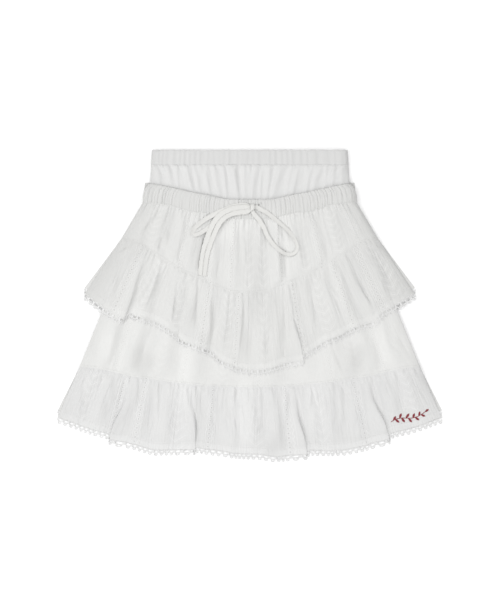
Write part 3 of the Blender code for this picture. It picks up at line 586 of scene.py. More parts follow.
def fuller_and_shaded(tree, base, plain):
    """Painted light and shade: whiter on broad folds and where the cloth is doubled, greyer in
    hollows and where it's sheer, and painted shade where the cloth turns to the back.
    """
    full = share_of(tree, "fullness")
    above = sum_node(tree, "MAXIMUM", full, 0.0, clamp=True)
    below = sum_node(tree, "MULTIPLY", full, -1.0, clamp=True)
    base = mix_colour(tree, above, base, toned(plain, DOUBLED_AND_LIT_TONE))
    base = mix_colour(tree, below, base, toned(plain, SHEER_AND_SHADED_TONE))
    return mix_colour(tree, share_of(tree, "side_turn"), base, toned(plain, SIDE_SHADE_TONE))


def patterned_cotton(name, crinkle_share, stripe_share, tone):
    """Off-white cotton with its woven stripes. The turned-up hem is doubled, so it's
    whiter, the cloth is sheer in patches, and the stripes are worn unevenly. Broad folds get
    painted light and shade, the sides painted shade, and the eyelets painted shade in their small
    holes."""
    material, tree, shader = new_material(name, toned(COTTON_WHITE, tone), COTTON_ROUGHNESS,
                                          COTTON_SHEEN)
    uv = uv_of(tree)
    weave = place_group(tree, WEAVE, UV=uv)
    crinkle = place_group(tree, CRINKLE, UV=uv)
    stripes = place_group(tree, STRIPES, UV=stretched(tree, uv_of(tree, "stripes"), 1000.0, 1000.0))
    turned = share_of(tree, "turned_hem")
    base = mix_colour(tree, turned, toned(COTTON_THIN, tone), toned(COTTON_WHITE, tone))
    patches = streaks(tree, uv, 30.0, 13.0)
    patches = sum_node(tree, "MULTIPLY", 4.0, sum_node(tree, "SUBTRACT", patches, 0.5), clamp=True)
    patches = sum_node(tree, "MULTIPLY", patches, 0.5)
    base = mix_colour(tree, patches, base, toned(COTTON_SHEER, tone))
    # Painted light and shade of broad folds, and painted shade at the sides
    base = fuller_and_shaded(tree, base, toned(COTTON_THIN, tone))
    slubs = sum_node(tree, "MULTIPLY", weave["Slub"], 0.25)
    base = mix_colour(tree, slubs, base, toned(COTTON_RAISED, tone))
    wear = streaks(tree, uv, 22.0, 14.0, detail=1.0)
    wear = sum_node(tree, "MULTIPLY_ADD", wear, 2.4, -0.75, clamp=True)
    strength = sum_node(tree, "MULTIPLY_ADD", wear, 0.65 * stripe_share, 0.3 * stripe_share)
    raised = sum_node(tree, "MULTIPLY", stripes["Raised"], strength)
    base = mix_colour(tree, raised, base, toned(COTTON_RAISED, tone))
    # Painted shade in the eyelets' small holes
    eyelet_shade = sum_node(tree, "MULTIPLY", stripes["Eyelets"], 0.7 * stripe_share)
    base = mix_colour(tree, eyelet_shade, base, toned(COTTON_EYELET_SHADE, tone))
    tree.links.new(base, shader.inputs["Base Color"])
    height = sum_node(tree, "MULTIPLY", crinkle["Height"], crinkle_share)
    height = sum_node(tree, "MULTIPLY_ADD", stripes["Raised"], 0.25 * stripe_share, height)
    height = sum_node(tree, "MULTIPLY_ADD", stripes["Eyelets"], -0.4 * stripe_share, height)
    height = sum_node(tree, "MULTIPLY_ADD", weave["Height"], 0.08, height)
    bump_into(tree, shader, height, 0.0009)
    return material


def plain_cotton(name, tone):
    material, tree, shader = new_material(name, toned(PLAIN_LIGHT, tone), PLAIN_ROUGHNESS,
                                          COTTON_SHEEN)
    uv = uv_of(tree)
    weave = place_group(tree, WEAVE, UV=uv, Thread_pitch=FINE_THREAD_PITCH)
    tint = sum_node(tree, "MULTIPLY", weave["Slub"], 0.5)
    base = mix_colour(tree, tint, toned(PLAIN_WHITE, tone), toned(PLAIN_LIGHT, tone))
    # Painted light and shade of broad folds, and painted shade at the sides
    base = fuller_and_shaded(tree, base, toned(PLAIN_WHITE, tone))
    tree.links.new(base, shader.inputs["Base Color"])
    soft = streaks(tree, uv, 60.0, 25.0, detail=3.0)
    height = sum_node(tree, "MULTIPLY_ADD", weave["Height"], 0.1, soft)
    bump_into(tree, shader, height, 0.0005)
    return material


def thread_material(name, colour, roughness, twist_pitch, sheen=0.1):
    """Twisted thread or yarn: slanting strands on Object coordinates."""
    material, tree, shader = new_material(name, colour, roughness, sheen)
    coordinate = tree.nodes.new("ShaderNodeTexCoord")
    split = tree.nodes.new("ShaderNodeSeparateXYZ")
    tree.links.new(coordinate.outputs["Object"], split.inputs[0])
    along = sum_node(tree, "ADD", split.outputs[0], split.outputs[1])
    strand = sum_node(tree, "SINE", sum_node(tree, "MULTIPLY", along, math.tau / twist_pitch))
    fuzz = noise(tree, coordinate.outputs["Object"], 900.0, 2.0)
    height = sum_node(tree, "MULTIPLY_ADD", strand, 0.3, fuzz)
    tree.links.new(mix_colour(tree, fuzz, toned(colour, 0.9), colour), shader.inputs["Base Color"])
    bump_into(tree, shader, height, 0.0002)
    return material


def drawstring_cotton():
    material, tree, shader = new_material("drawstring_cotton", TAPE_PLAIN, COTTON_ROUGHNESS,
                                          COTTON_SHEEN)
    uv = uv_of(tree)
    weave = place_group(tree, WEAVE, UV=uv, Thread_pitch=FINE_THREAD_PITCH)
    puckers = streaks(tree, uv, 160.0, 420.0, detail=3.0)
    # Painted light and shade: the tape is lighter where its puckers rise and darker where they sink
    tint = sum_node(tree, "MULTIPLY", puckers, 0.5)
    tree.links.new(mix_colour(tree, tint, TAPE_SHADE, TAPE_LIGHT), shader.inputs["Base Color"])
    height = sum_node(tree, "MULTIPLY_ADD", weave["Height"], 0.12, puckers)
    bump_into(tree, shader, height, 0.0006)
    return material


RUFFLE_COTTON = patterned_cotton("patterned_cotton_ruffle", 0.9, 1.0, 0.98)
LOWER_COTTON = patterned_cotton("patterned_cotton_lower_ruffle", 0.9, 1.0, (0.985, 0.985, 0.995))
PANEL_COTTON = patterned_cotton("patterned_cotton_panel", 0.6, 0.85, 0.99)
UNDER_COTTON = patterned_cotton("patterned_cotton_lower_panel", 0.4, 0.5, 1.02)
BAND_COTTON = patterned_cotton("crinkled_waistband_cotton", 1.3, 0.0, 0.93)
PLAIN_COTTON = plain_cotton("plain_cotton", 0.98)
CASING_COTTON = plain_cotton("plain_cotton_doubled", 0.915)
LACE_YARN = thread_material("lace_yarn", (0.80, 0.80, 0.795), 0.85, 0.0009, sheen=0.0)
SEWING_THREAD = thread_material("sewing_thread", (0.74, 0.74, 0.73), 0.6, 0.0006)
RED_THREAD = thread_material("red_embroidery_thread", (0.24, 0.006, 0.016), 0.5, 0.0007, sheen=0.2)
TAPE_COTTON = drawstring_cotton()
SHADE_COTTON = thread_material("slit_shade", (0.16, 0.155, 0.145), 0.9, 0.0009, sheen=0.0)


# ================================================================ sums on grids
def mix(a, b, share):
    return a + (b - a) * share


def ease(share):
    share = np.clip(share, 0.0, 1.0)
    return share * share * (3.0 - 2.0 * share)


def hump(distance, width):
    return np.exp(-(distance / width) ** 2)


def unit(vectors):
    length = np.linalg.norm(vectors, axis=-1, keepdims=True)
    return vectors / np.maximum(length, 1e-9)


def held_in(x, line):
    """x kept between the ends of a line that mirrors about the middle."""
    return np.clip(x, -line[-1].x, line[-1].x)


def soft_line(points, softness=3.0, mirrored=False):
    """A function for a line's height, with its corners rounded over softness."""
    if mirrored:
        points = [Line(-p.x, p.y) for p in reversed(points[1:])] + list(points)
    step = 0.5
    xs = np.arange(points[0].x, points[-1].x + step, step)
    ys = np.interp(xs, [p.x for p in points], [p.y for p in points])
    reach = int(4 * softness / step)
    offsets = np.arange(-reach, reach + 1) * step
    weights = np.exp(-0.5 * (offsets / softness) ** 2)
    weights /= weights.sum()
    start = 2 * ys[0] - ys[reach:0:-1]
    end = 2 * ys[-1] - ys[-2:-reach - 2:-1]
    smooth = np.convolve(np.concatenate([start, ys, end]), weights, mode="valid")
    return lambda x: np.interp(x, xs, smooth)


def side_width(down):
    return np.interp(down, [l.down for l in BAND_SIDE], [l.half_width for l in BAND_SIDE])


def roll_in(distance, reach):
    """0 on a fold and 1 from reach inwards, round as a fold of cloth."""
    share = np.clip(distance / reach, 0.0, 1.0)
    return np.sqrt(np.maximum(0.0, 1.0 - (1.0 - share) ** 2))


def side_lift(across, width, reach):
    """0 on the two side folds and 1 from reach inwards."""
    return roll_in(width * (1.0 - np.abs(across)), reach)


def folds_at(folds, half_width, across, down, growth):
    """Height and sideways fall of a row of folds that widen and rise downwards, from a
    growth's share of their height at the top."""
    strength = mix(growth, 1.0, ease(down))
    narrow = mix(0.55, 1.0, down)
    rise = np.zeros_like(across + down)
    fall = np.zeros_like(rise)
    for number, fold in enumerate(folds):
        wander = 2.2 * np.sin(2.6 * down * math.pi + number * 1.9) * (1.0 - down)
        away = (across * half_width - fold.x - wander) / (fold.spread * narrow)
        height = fold.rise * np.exp(-away * away) * strength
        rise = rise + height
        fall = fall + height * fold.lean * ease(down * 1.3)
    return rise, fall


def gathers_at(across, below, seed, count, reach, rise):
    """Small uneven gathers below a seam. below is the distance from it, in millimetres,
    and reach the shortest and longest gather."""
    draw = np.random.default_rng(seed)
    pitch = 2.0 / count
    total = np.zeros_like(across + below)
    for number in range(count):
        centre = -1.0 + (number + 0.5 + draw.uniform(-0.3, 0.3)) * pitch
        width = pitch * draw.uniform(0.24, 0.42)
        length = draw.uniform(*reach)
        height = rise * draw.uniform(0.5, 1.0)
        drift = draw.uniform(-0.5, 0.5) * pitch
        share = np.clip(below / length, 0.0, 1.0)
        away = (across - centre - drift * share) / (width * (1.0 + 0.9 * share))
        total = total + height * np.exp(-away * away) * (1.0 - ease(share))
    return total


def settled(height, down, length):
    """Folds die down towards a hem, which rests on what is below it."""
    above_hem = length * (1.0 - down)
    return height * mix(1.0, 0.13, ease((44.0 - above_hem) / 41.0))


def creases_at(creases, x, y):
    """Height of straight creases. One with unequal sides is a fold's sharp edge."""
    total = np.zeros_like(x)
    for crease in creases:
        run = np.array([crease.x1 - crease.x0, crease.y1 - crease.y0])
        length = math.hypot(*run)
        run = run / length
        along = (x - crease.x0) * run[0] + (y - crease.y0) * run[1]
        away = (x - crease.x0) * run[1] - (y - crease.y0) * run[0]
        width = np.where(away > 0, crease.width, crease.back)
        taper = np.sin(np.clip(along / length, 0.0, 1.0) * math.pi) ** 0.7
        total = total + crease.rise * taper * hump(away, width)
    return total


def small_creases(seed, count, half_width, top, bottom, fan):
    """Many small creases that fan out with the cloth. fan is their tilt at the side."""
    draw = np.random.default_rng(seed)
    creases = []
    for _ in range(count):
        x = draw.uniform(-1.0, 1.0) * half_width
        y = mix(top, bottom, draw.uniform(0.0, 1.0))
        tilt = fan * x / half_width + draw.normal(0.0, 0.17)
        length = draw.uniform(14.0, 48.0)
        rise = draw.choice([-1.0, 1.0]) * draw.uniform(0.25, 0.85)
        creases.append(Crease(x, y, x + length * math.sin(tilt), y - length * math.cos(tilt),
                              draw.uniform(1.3, 3.4), draw.uniform(1.3, 3.4), rise))
    return creases


def meet(height, distance, reach, seam_height, dip):
    """A surface's height brought to a seam's, with the seam pulled in by its thread."""
    joined = mix(height, seam_height, 1.0 - ease(distance / reach))
    return joined - dip * hump(distance, 1.3)


def seam_wave(x):
    """Height along a seam, from the folds that pass through it."""
    return 0.7 + 0.35 * np.sin(x / 9.0) + 0.25 * np.sin(x / 4.3 + 1.0) + 0.1 * np.sin(x / 2.3)


def crinkle_at(across_mm, down_mm, seed, rise):
    """Fine upright puckers whose lines wander and whose height comes and goes."""
    draw = np.random.default_rng(seed)
    total = np.zeros_like(across_mm + down_mm)
    for scale in (1.0, 1.37, 0.71):
        wander = sum(
            draw.uniform(0.2, 0.6) * np.sin(down_mm / draw.uniform(7, 16)
                                            + across_mm / draw.uniform(20, 50)
                                            + draw.uniform(0, math.tau))
            for _ in range(3))
        swell = 0.6 + 0.4 * np.sin(across_mm / draw.uniform(9, 17) + down_mm / 14.0
                                   + draw.uniform(0, math.tau))
        total = total + swell * np.sin(math.tau * across_mm / (CRINKLE_PITCH * scale) + wander)
    return total * rise / 3.0


# ================================================================ where each layer lies
band_top = soft_line(BAND_TOP, 5.0, mirrored=True)
band_bottom = soft_line(BAND_BOTTOM, 5.0, mirrored=True)
tier_seam = soft_line(TIER_SEAM, 4.0, mirrored=True)
second_seam = soft_line(SECOND_SEAM, 4.0, mirrored=True)
back_upper_hem = soft_line(BACK_UPPER_HEM, 6.0, mirrored=True)
back_hem = soft_line(BACK_HEM, 6.0, mirrored=True)
upper_hem = soft_line(UPPER_HEM, 2.2)
hem = soft_line(HEM, 2.0)

UNDER_RISE_LIMIT = 4.2      # no fold of the lower panel's solid is higher than this
YOKE_RISE_LIMIT = 2.0       # nor of the yoke's
YOKE_HEIGHT_LIMIT = 4.4     # of the yoke's cloth
UPPER_FLUTE_SHARE = 0.62    # of its solid's flutes that the upper ruffle's cloth has
LOWER_FLUTE_SHARE = 0.75    # and the lower ruffle's
PUFF = 1.5                  # the air under the lower ruffle's top
SEAM_LAP = 2.0              # of a piece behind the seam at its top or bottom
BACK_SETTLES = 18.0         # how far below the second seam the back is on the surface
FRONT_SETTLES = 45.0        # over how far the front then comes down
BAND_FLOOR = BAND_WALL + SEAM_GAP + 2 * PLAIN_WALL + YOKE_RISE_LIMIT + 2 * LAYER_GAP
RUFFLE_FLOOR = 3 * WALL + SEAM_GAP + 2 * LAYER_GAP


def under_top(x):
    return tier_seam(x) - SEAM_LAP


def on_surface(x, y):
    return 0.0 * (x + y)


def under_half_width(y):
    top = Line(UNDER_TOP_HALF_WIDTH, float(tier_seam(UNDER_TOP_HALF_WIDTH)))
    seam = Line(UNDER_SEAM_HALF_WIDTH, SECOND_SEAM[-1].y)
    return mix(top.x, seam.x, (top.y - y) / (top.y - seam.y))


def ruffle_half_width(y):
    seam = Line(SEAM_HALF_WIDTH, TIER_SEAM[-1].y)
    edge = Line(RUFFLE_HALF_WIDTH, UPPER_HEM[-1].y)
    return mix(seam.x, edge.x, np.clip((seam.y - y) / (seam.y - edge.y), 0.0, 1.0))


def below_tier_seam(x, y):
    return tier_seam(held_in(x, TIER_SEAM)) - y


def below_second_seam(x, y):
    return second_seam(held_in(x, SECOND_SEAM)) - y


def back_under_floor(x, y):
    """The underskirt's back comes down to the surface below the second seam."""
    return (WALL + SEAM_GAP) * (1.0 - ease(below_second_seam(x, y) / BACK_SETTLES))


def front_under_floor(x, y, lift):
    """The underskirt's front rests on its back, and past the back's lace on the surface."""
    below = below_second_seam(x, y)
    side = back_under_floor(x, y) + CLOTH
    seam_layer = (WALL + SEAM_GAP) * (1.0 - ease((below - BACK_SETTLES) / FRONT_SETTLES))
    over_back = WALL + LAYER_GAP - ease((below - 25.0) / FRONT_SETTLES)
    back_tips = back_hem(held_in(x, BACK_HEM)) - LACE_DROP
    resting = mix(seam_layer + over_back, -0.35, ease((back_tips + 6.0 - y) / 12.0))
    return mix(side, resting, lift)


def back_yoke_floor(y):
    return (BAND_WALL + SEAM_GAP) * (1.0 - ease((y - BACK_BAND_TOP - 3.0) / 16.0))


def front_yoke_floor(y, lift):
    side = back_yoke_floor(y) + CLOTH
    return mix(side, BAND_WALL + SEAM_GAP + PLAIN_WALL + LAYER_GAP, lift)


def under_height(x, y):
    """Height of the lower panel's cloth, halfway through it, under a place."""
    down = np.full_like(x + y, 0.5)
    for _ in range(6):
        width = mix(UNDER_TOP_HALF_WIDTH, UNDER_SEAM_HALF_WIDTH, down)
        across = np.clip(x / width, -1.0, 1.0)
        top = under_top(across * UNDER_TOP_HALF_WIDTH)
        seam = second_seam(across * UNDER_SEAM_HALF_WIDTH)
        down = np.clip((top - y) / (top - seam), 0.0, 1.0)
    return lower_panel_front(across, down)[..., 2]


def ruffle_floor(x, y):
    """The ruffle hangs from its seam and comes to rest on the lower panel."""
    inner = under_half_width(y)
    out = np.clip((np.abs(x) - inner) / np.maximum(1.0, ruffle_half_width(y) - inner), 0, 1)
    climb = np.sqrt(1.0 - out * out)
    resting = under_height(x, y) + CLOTH + 0.1 - WALL / 2
    hung = ease(below_tier_seam(x, y) / 30.0)
    return mix(CLOTH, mix(RUFFLE_FLOOR, resting, hung), climb)


# ================================================================ making meshes
def tidy_object(name, mesh, material):
    mesh.update()
    mesh.shade_smooth()
    mesh.set_sharp_from_angle(angle=math.radians(55))
    mesh.materials.clear()
    mesh.materials.append(material)
    piece = bpy.data.objects.new(name, mesh)
    bpy.context.scene.collection.objects.link(piece)
    return piece


def finish_piece(piece, slot, *nodes):
    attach(piece, "root")
    if nodes:
        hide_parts(*nodes)


def built_mesh(build, name):
    mesh = bpy.data.meshes.new(name)
    build.to_mesh(mesh)
    build.free()
    return mesh


def turn_faces_outwards(mesh):
    build = bmesh.new()
    build.from_mesh(mesh)
    bmesh.ops.recalc_face_normals(build, faces=build.faces)
    build.to_mesh(mesh)
    build.free()


def corner_vertices(mesh):
    """The vertex at each corner of each face."""
    loops = np.empty(len(mesh.loops), dtype=np.int32)
    mesh.loops.foreach_get("vertex_index", loops)
    return loops


def add_uv(mesh, name, corner_uv):
    layer = mesh.uv_layers.new(name=name)
    layer.data.foreach_set("uv", (corner_uv * MM).ravel())


def add_share(mesh, name, values):
    """An attribute with the same values on a shell's upper and lower grid."""
    attribute = mesh.attributes.new(name, "FLOAT", "POINT")
    attribute.data.foreach_set("value", np.concatenate([values.ravel()] * 2))


def grid_normals(points):
    return unit(np.cross(np.gradient(points, axis=0), np.gradient(points, axis=1)))


def grid_of(columns, rows, crowd=0.3):
    """Shares across and down, with the columns closer together towards the sides."""
    even = np.linspace(-1.0, 1.0, columns + 1)
    across = mix(even, np.sin(even * math.pi / 2), crowd)
    down = np.linspace(0.0, 1.0, rows + 1)
    return np.meshgrid(across, down)


def shell_faces(rows, columns):
    """Faces of an upper grid, of a lower one behind it and of the rim between them."""
    behind = rows * columns
    index = np.arange(behind).reshape(rows, columns)
    a, b = index[:-1, :-1].ravel(), index[1:, :-1].ravel()
    c, d = index[1:, 1:].ravel(), index[:-1, 1:].ravel()
    upper = np.stack([a, b, c, d], axis=1)
    lower = np.stack([d, c, b, a], axis=1) + behind
    rim = np.concatenate([index[0, :-1], index[:-1, -1], index[-1, :0:-1], index[:0:-1, 0]])
    following = np.roll(rim, -1)
    sides = np.stack([rim + behind, rim, following, following + behind], axis=1)
    return np.concatenate([upper, lower, sides])


# How far in from a side, and how strongly, the cloth gets painted shade where it turns to the back
SideShade = namedtuple("SideShade", "reach depth")


def cloth_shell(name, points, cloth_uv, material, thickness, turned_hem, stripes, side):
    """Thin closed shell round a grid of points, a row for each step down the cloth. Its
    attributes say how far a place is in the turned-up hem, how much painted shade it gets where the
    sides turn to the back, and how full the cloth is there, with painted light and shade of broad
    folds."""
    rows, columns = points.shape[:2]
    outwards = grid_normals(points) * thickness / 2
    corners = np.concatenate([points + outwards, points - outwards]).reshape(-1, 3) * MM
    mesh = bpy.data.meshes.new(name)
    mesh.from_pydata(corners.tolist(), [], shell_faces(rows, columns).tolist())
    both_uv = np.concatenate([cloth_uv, cloth_uv]).reshape(-1, 2)
    add_uv(mesh, "cloth", both_uv[corner_vertices(mesh)])
    add_share(mesh, "turned_hem", turned_hem)
    # Painted shade that grows towards each side, where the cloth turns to the back
    edge = np.minimum(points[..., 0] - points[:, :1, 0], points[:, -1:, 0] - points[..., 0])
    add_share(mesh, "side_turn", side.depth * np.exp(-np.abs(edge) / side.reach))
    # Painted light and shade of broad folds, with whiter doubled and greyer sheer cloth
    add_share(mesh, "fullness", creases_at(FULLNESS_AND_FOLD_SHADE, points[..., 0], points[..., 1]))
    if stripes.places:
        add_stripe_uv(mesh, stripes, cloth_uv[..., 1])
    return tidy_object(name, mesh, material)


Stripes = namedtuple("Stripes", "places across_mm")


def add_stripe_uv(mesh, stripes, down_mm):
    """A second UV layer for the woven stripes. Each face takes its distance from the
    stripe that is nearest, so a stripe keeps its width wherever the cloth is gathered."""
    loops = corner_vertices(mesh)
    across, down = (np.concatenate([values, values]).ravel()[loops].reshape(-1, 4)
                    for values in (stripes.across_mm, down_mm))
    middle = across.mean(axis=1)
    places = np.array([stripe.x for stripe in stripes.places])
    orders = np.array([stripe.order for stripe in stripes.places])
    nearest = np.abs(middle[:, None] - places[None, :]).argmin(axis=1)
    u = (orders[nearest] * STRIPE_WIDTH)[:, None] + across - places[nearest][:, None]
    add_uv(mesh, "stripes", np.stack([u, down], axis=-1))


# ================================================================ the pieces' surfaces
UPPER_PANEL_SMALL = small_creases(34, 46, 170.0, 135.0, 40.0, 0.5)
UPPER_RUFFLE_SMALL = small_creases(43, 70, 220.0, 70.0, -70.0, 0.6)
LOWER_PANEL_SMALL = small_creases(52, 26, 215.0, -20.0, -90.0, 0.4)
LOWER_RUFFLE_SMALL = small_creases(63, 76, 262.0, -95.0, -185.0, 0.4)


def casing_front(across, down):
    width = CASING_HALF_WIDTH + CASING_FLARE * down
    x = across * width
    lift = side_lift(across, width, 6.0)
    tucks = gathers_at(across, 4.0 + 0 * down, seed=11, count=34, reach=(60, 90), rise=1.1)
    above = (1.0 - down) * CASING_DROP
    bead = roll_in(down * CASING_DROP, 2.5) * mix(0.55, 1.0, roll_in(above, 2.0))
    y = mix(CASING_TOP - 0.5 + 0.45 * tucks, CASING_BOTTOM + 0 * tucks, down)
    end_fold = 1.2 * hump(np.abs(x) - 132.0, 3.2)
    stitched = 0.5 * hump(above, 1.0)
    height = (tucks * 0.9 + end_fold + 0.7) * bead - stitched
    z = front_yoke_floor(y, lift) + PLAIN_WALL / 2 + height * lift
    return np.stack([x, y, z], axis=-1)


def yoke_front(across, down):
    width = mix(CASING_HALF_WIDTH + CASING_FLARE, YOKE_HALF_WIDTH, down)
    x = across * width
    y = mix(CASING_BOTTOM + 0 * x, band_bottom(x) + SEAM_LAP, down)
    lift = side_lift(across, width, 7.0)
    below = CASING_BOTTOM - y
    inward = across / (1.0 - 0.22 * down)
    folds = creases_at(YOKE_FOLDS, x, y)
    tucks = gathers_at(inward, below, seed=12, count=27, reach=(16, 60), rise=1.9)
    fine = gathers_at(inward, below, seed=14, count=64, reach=(8, 26), rise=0.7)
    height = np.clip(folds + tucks + fine + 0.15, 0.0, YOKE_HEIGHT_LIMIT)
    height = meet(height, below, 4.0, 0.8 + 0.9 * fine + 0.4 * tucks, dip=0.5)
    settle = mix(1.0, 0.45, ease((band_top(held_in(x, BAND_TOP)) + 7.0 - y) / 8.0))
    z = front_yoke_floor(y, lift) + PLAIN_WALL / 2 + height * lift * settle
    return np.stack([x, y, z], axis=-1)


def waistband_front(across, down):
    width = side_width(down)
    x = across * width
    ribs = crinkle_at(across * BAND_TOP[-1].x, down * 24.0, seed=21, rise=1.0)
    smooth_patch = np.exp(-((x + 95.0) / 15.0) ** 4)
    ribs = ribs * (1.0 - 0.6 * smooth_patch)
    y = mix(band_top(x) + 0.5 * ribs, band_bottom(x), down)
    lift = side_lift(across, width, 9.0)
    above = (1.0 - down) * BAND_DROP
    bead = roll_in(down * BAND_DROP, 4.5) * mix(0.3, 1.0, roll_in(above, 4.0))
    height = bead * (0.9 + ribs)
    floor = mix(BAND_WALL / 2 + BAND_CLOTH, BAND_FLOOR + BAND_WALL / 2 - 0.4, lift)
    return np.stack([x, y, floor + height * lift], axis=-1)


def upper_panel_front(across, down):
    width = mix(BAND_HALF_WIDTH, SEAM_HALF_WIDTH, down)
    x = across * width
    top = band_bottom(across * BAND_HALF_WIDTH) + 0.8
    seam = tier_seam(across * SEAM_HALF_WIDTH)
    y = mix(top, seam, down)
    lift = side_lift(across, width, 10.0)
    floor = mix(BAND_FLOOR - 0.5, RUFFLE_FLOOR, ease(down))
    side = mix(BAND_WALL / 2, WALL / 2, down) + CLOTH
    folds, fall = folds_at(UPPER_PANEL_FOLDS, SEAM_HALF_WIDTH, across, down, growth=0.5)
    gathers = gathers_at(across, top - y, seed=31, count=62, reach=(12, 60), rise=1.7)
    settle = mix(1.0, 0.6, ease((down - 0.6) / 0.4))
    crinkle = crinkle_at(across * 170.0, down * UPPER_PANEL_DROP, seed=33, rise=0.2)
    creases = creases_at(UPPER_PANEL_CREASES + UPPER_PANEL_SMALL, x, y)
    height = (folds * 0.8 + 1.3 * creases) * settle + gathers + crinkle
    height = meet(height, top - y, 5.0, 0.5 + 0.8 * gathers, dip=0.3)
    height = meet(height, y - seam, 12.0, seam_wave(x), dip=-0.15)
    z = mix(side, floor + WALL / 2, lift) + height * lift
    return np.stack([x + fall * lift * ease((1.0 - down) / 0.15), y, z], axis=-1)


def upper_ruffle_front(across, down):
    width = mix(SEAM_HALF_WIDTH, RUFFLE_HALF_WIDTH, down)
    x = across * width
    top = tier_seam(across * SEAM_HALF_WIDTH)
    y = mix(top, upper_hem(across * RUFFLE_HALF_WIDTH), down)
    lift = side_lift(across, width, mix(10.0, 18.0, down))
    folds, fall = folds_at(UPPER_RUFFLE_FLUTES, RUFFLE_HALF_WIDTH, across, down, growth=0.16)
    gathers = gathers_at(across, top - y, seed=41, count=66, reach=(6, 40), rise=1.5)
    crinkle = crinkle_at(across * UPPER_HEM[-1].x, down * UPPER_RUFFLE_DROP, seed=42, rise=0.2)
    creases = creases_at(UPPER_RUFFLE_CREASES + UPPER_RUFFLE_SMALL, x, y)
    height = np.maximum(0.5 + folds * UPPER_FLUTE_SHARE + 1.1 * creases, 0.0) + crinkle
    height = np.maximum(settled(height, down, UPPER_RUFFLE_DROP), 0.0)
    height = meet(height, top - y, 14.0, seam_wave(x), dip=-0.15)
    height = height + gathers * ease((top - y) / 4.0)
    z = ruffle_floor(x, y) + WALL / 2 + height * lift
    return np.stack([x + fall * UPPER_FLUTE_SHARE * lift, y, z], axis=-1)


def lower_panel_front(across, down):
    width = mix(UNDER_TOP_HALF_WIDTH, UNDER_SEAM_HALF_WIDTH, down)
    x = across * width
    seam = second_seam(across * UNDER_SEAM_HALF_WIDTH)
    y = mix(under_top(across * UNDER_TOP_HALF_WIDTH), seam, down)
    lift = side_lift(across, width, 15.0)
    folds, fall = folds_at(LOWER_PANEL_FOLDS, UNDER_SEAM_HALF_WIDTH, across, down, growth=0.4)
    rise = np.minimum(UNDER_RISE_LIMIT - 0.4, folds) * ease(below_tier_seam(x, y) / 45.0)
    creases = creases_at(LOWER_PANEL_CREASES + LOWER_PANEL_SMALL, x, y)
    puckers = gathers_at(across, y - seam, seed=51, count=70, reach=(4, 14), rise=0.5)
    height = meet(rise + creases, y - seam, 14.0, seam_wave(x), dip=-0.05) + puckers
    z = front_under_floor(x, y, lift) + WALL / 2 + height * lift
    return np.stack([x + fall * lift * ease((1.0 - down) / 0.1), y, z], axis=-1)


def lower_ruffle_front(across, down):
    width = mix(UNDER_SEAM_HALF_WIDTH, HEM_HALF_WIDTH, down)
    x = across * width
    top = second_seam(across * UNDER_SEAM_HALF_WIDTH)
    y = mix(top, hem(across * HEM_HALF_WIDTH), down)
    lift = side_lift(across, width, mix(15.0, 18.0, down))
    folds, fall = folds_at(LOWER_RUFFLE_FLUTES, HEM_HALF_WIDTH, across, down, growth=0.2)
    gathers = gathers_at(across, top - y, seed=61, count=84, reach=(5, 38), rise=1.5)
    crinkle = crinkle_at(across * HEM[-1].x, down * LOWER_RUFFLE_DROP, seed=62, rise=0.2)
    creases = creases_at(LOWER_RUFFLE_CREASES + LOWER_RUFFLE_SMALL, x, y)
    height = np.maximum(PUFF * (1.0 - down) + folds * LOWER_FLUTE_SHARE + 1.3 * creases, 0.0)
    height = settled(height, down, LOWER_RUFFLE_DROP) + crinkle
    height = meet(height, top - y, 12.0, seam_wave(x), dip=-0.05)
    height = height + gathers * ease((top - y) / 4.0)
    z = front_under_floor(x, y, lift) + WALL / 2 + height * lift
    return np.stack([x + fall * lift, y, z], axis=-1)


def back_surface(top, bottom, top_width, bottom_width, seed, count, floor=on_surface):
    """A back lies on the surface, with low folds that rise from it."""
    def surface(across, down):
        width = mix(top_width, bottom_width, down)
        x = across * width
        upper = top(across * top_width)
        y = mix(upper, bottom(across * bottom_width), down)
        lift = side_lift(across, width, 14.0)
        folds, _ = folds_at(BACK_FLUTES, max(bottom_width, 200.0), across, down, growth=0.3)
        small = gathers_at(across, upper - y, seed, count, reach=(15, 60), rise=0.5)
        height = np.minimum(folds + small, 0.9)
        z = floor(x, y) + CLOTH / 2 + height * lift
        return np.stack([x, y, z], axis=-1)
    return surface


def level(y):
    return lambda x: y + 0.0 * x


def yoke_floor(x, y):
    return back_yoke_floor(y) + 0.0 * x


back_casing = back_surface(
    level(CASING_TOP - 0.5), level(CASING_BOTTOM), CASING_HALF_WIDTH,
    CASING_HALF_WIDTH + CASING_FLARE, seed=71, count=46, floor=yoke_floor)
back_yoke = back_surface(
    level(CASING_BOTTOM), level(BACK_BAND_BOTTOM - 8.0), CASING_HALF_WIDTH + CASING_FLARE,
    YOKE_HALF_WIDTH, seed=72, count=44, floor=yoke_floor)
back_waistband = back_surface(
    level(BACK_BAND_TOP), level(BACK_BAND_BOTTOM), 151.0, BAND_HALF_WIDTH, seed=73, count=60)
back_upper_panel = back_surface(
    level(BACK_BAND_BOTTOM), tier_seam, BAND_HALF_WIDTH, SEAM_HALF_WIDTH, seed=74, count=60)
back_upper_ruffle = back_surface(
    tier_seam, back_upper_hem, SEAM_HALF_WIDTH, RUFFLE_HALF_WIDTH, seed=75, count=66)
back_lower_panel = back_surface(
    under_top, second_seam, UNDER_TOP_HALF_WIDTH, UNDER_SEAM_HALF_WIDTH, seed=76, count=20,
    floor=back_under_floor)
back_lower_ruffle = back_surface(
    second_seam, back_hem, UNDER_SEAM_HALF_WIDTH, HEM_HALF_WIDTH, seed=77, count=84,
    floor=back_under_floor)


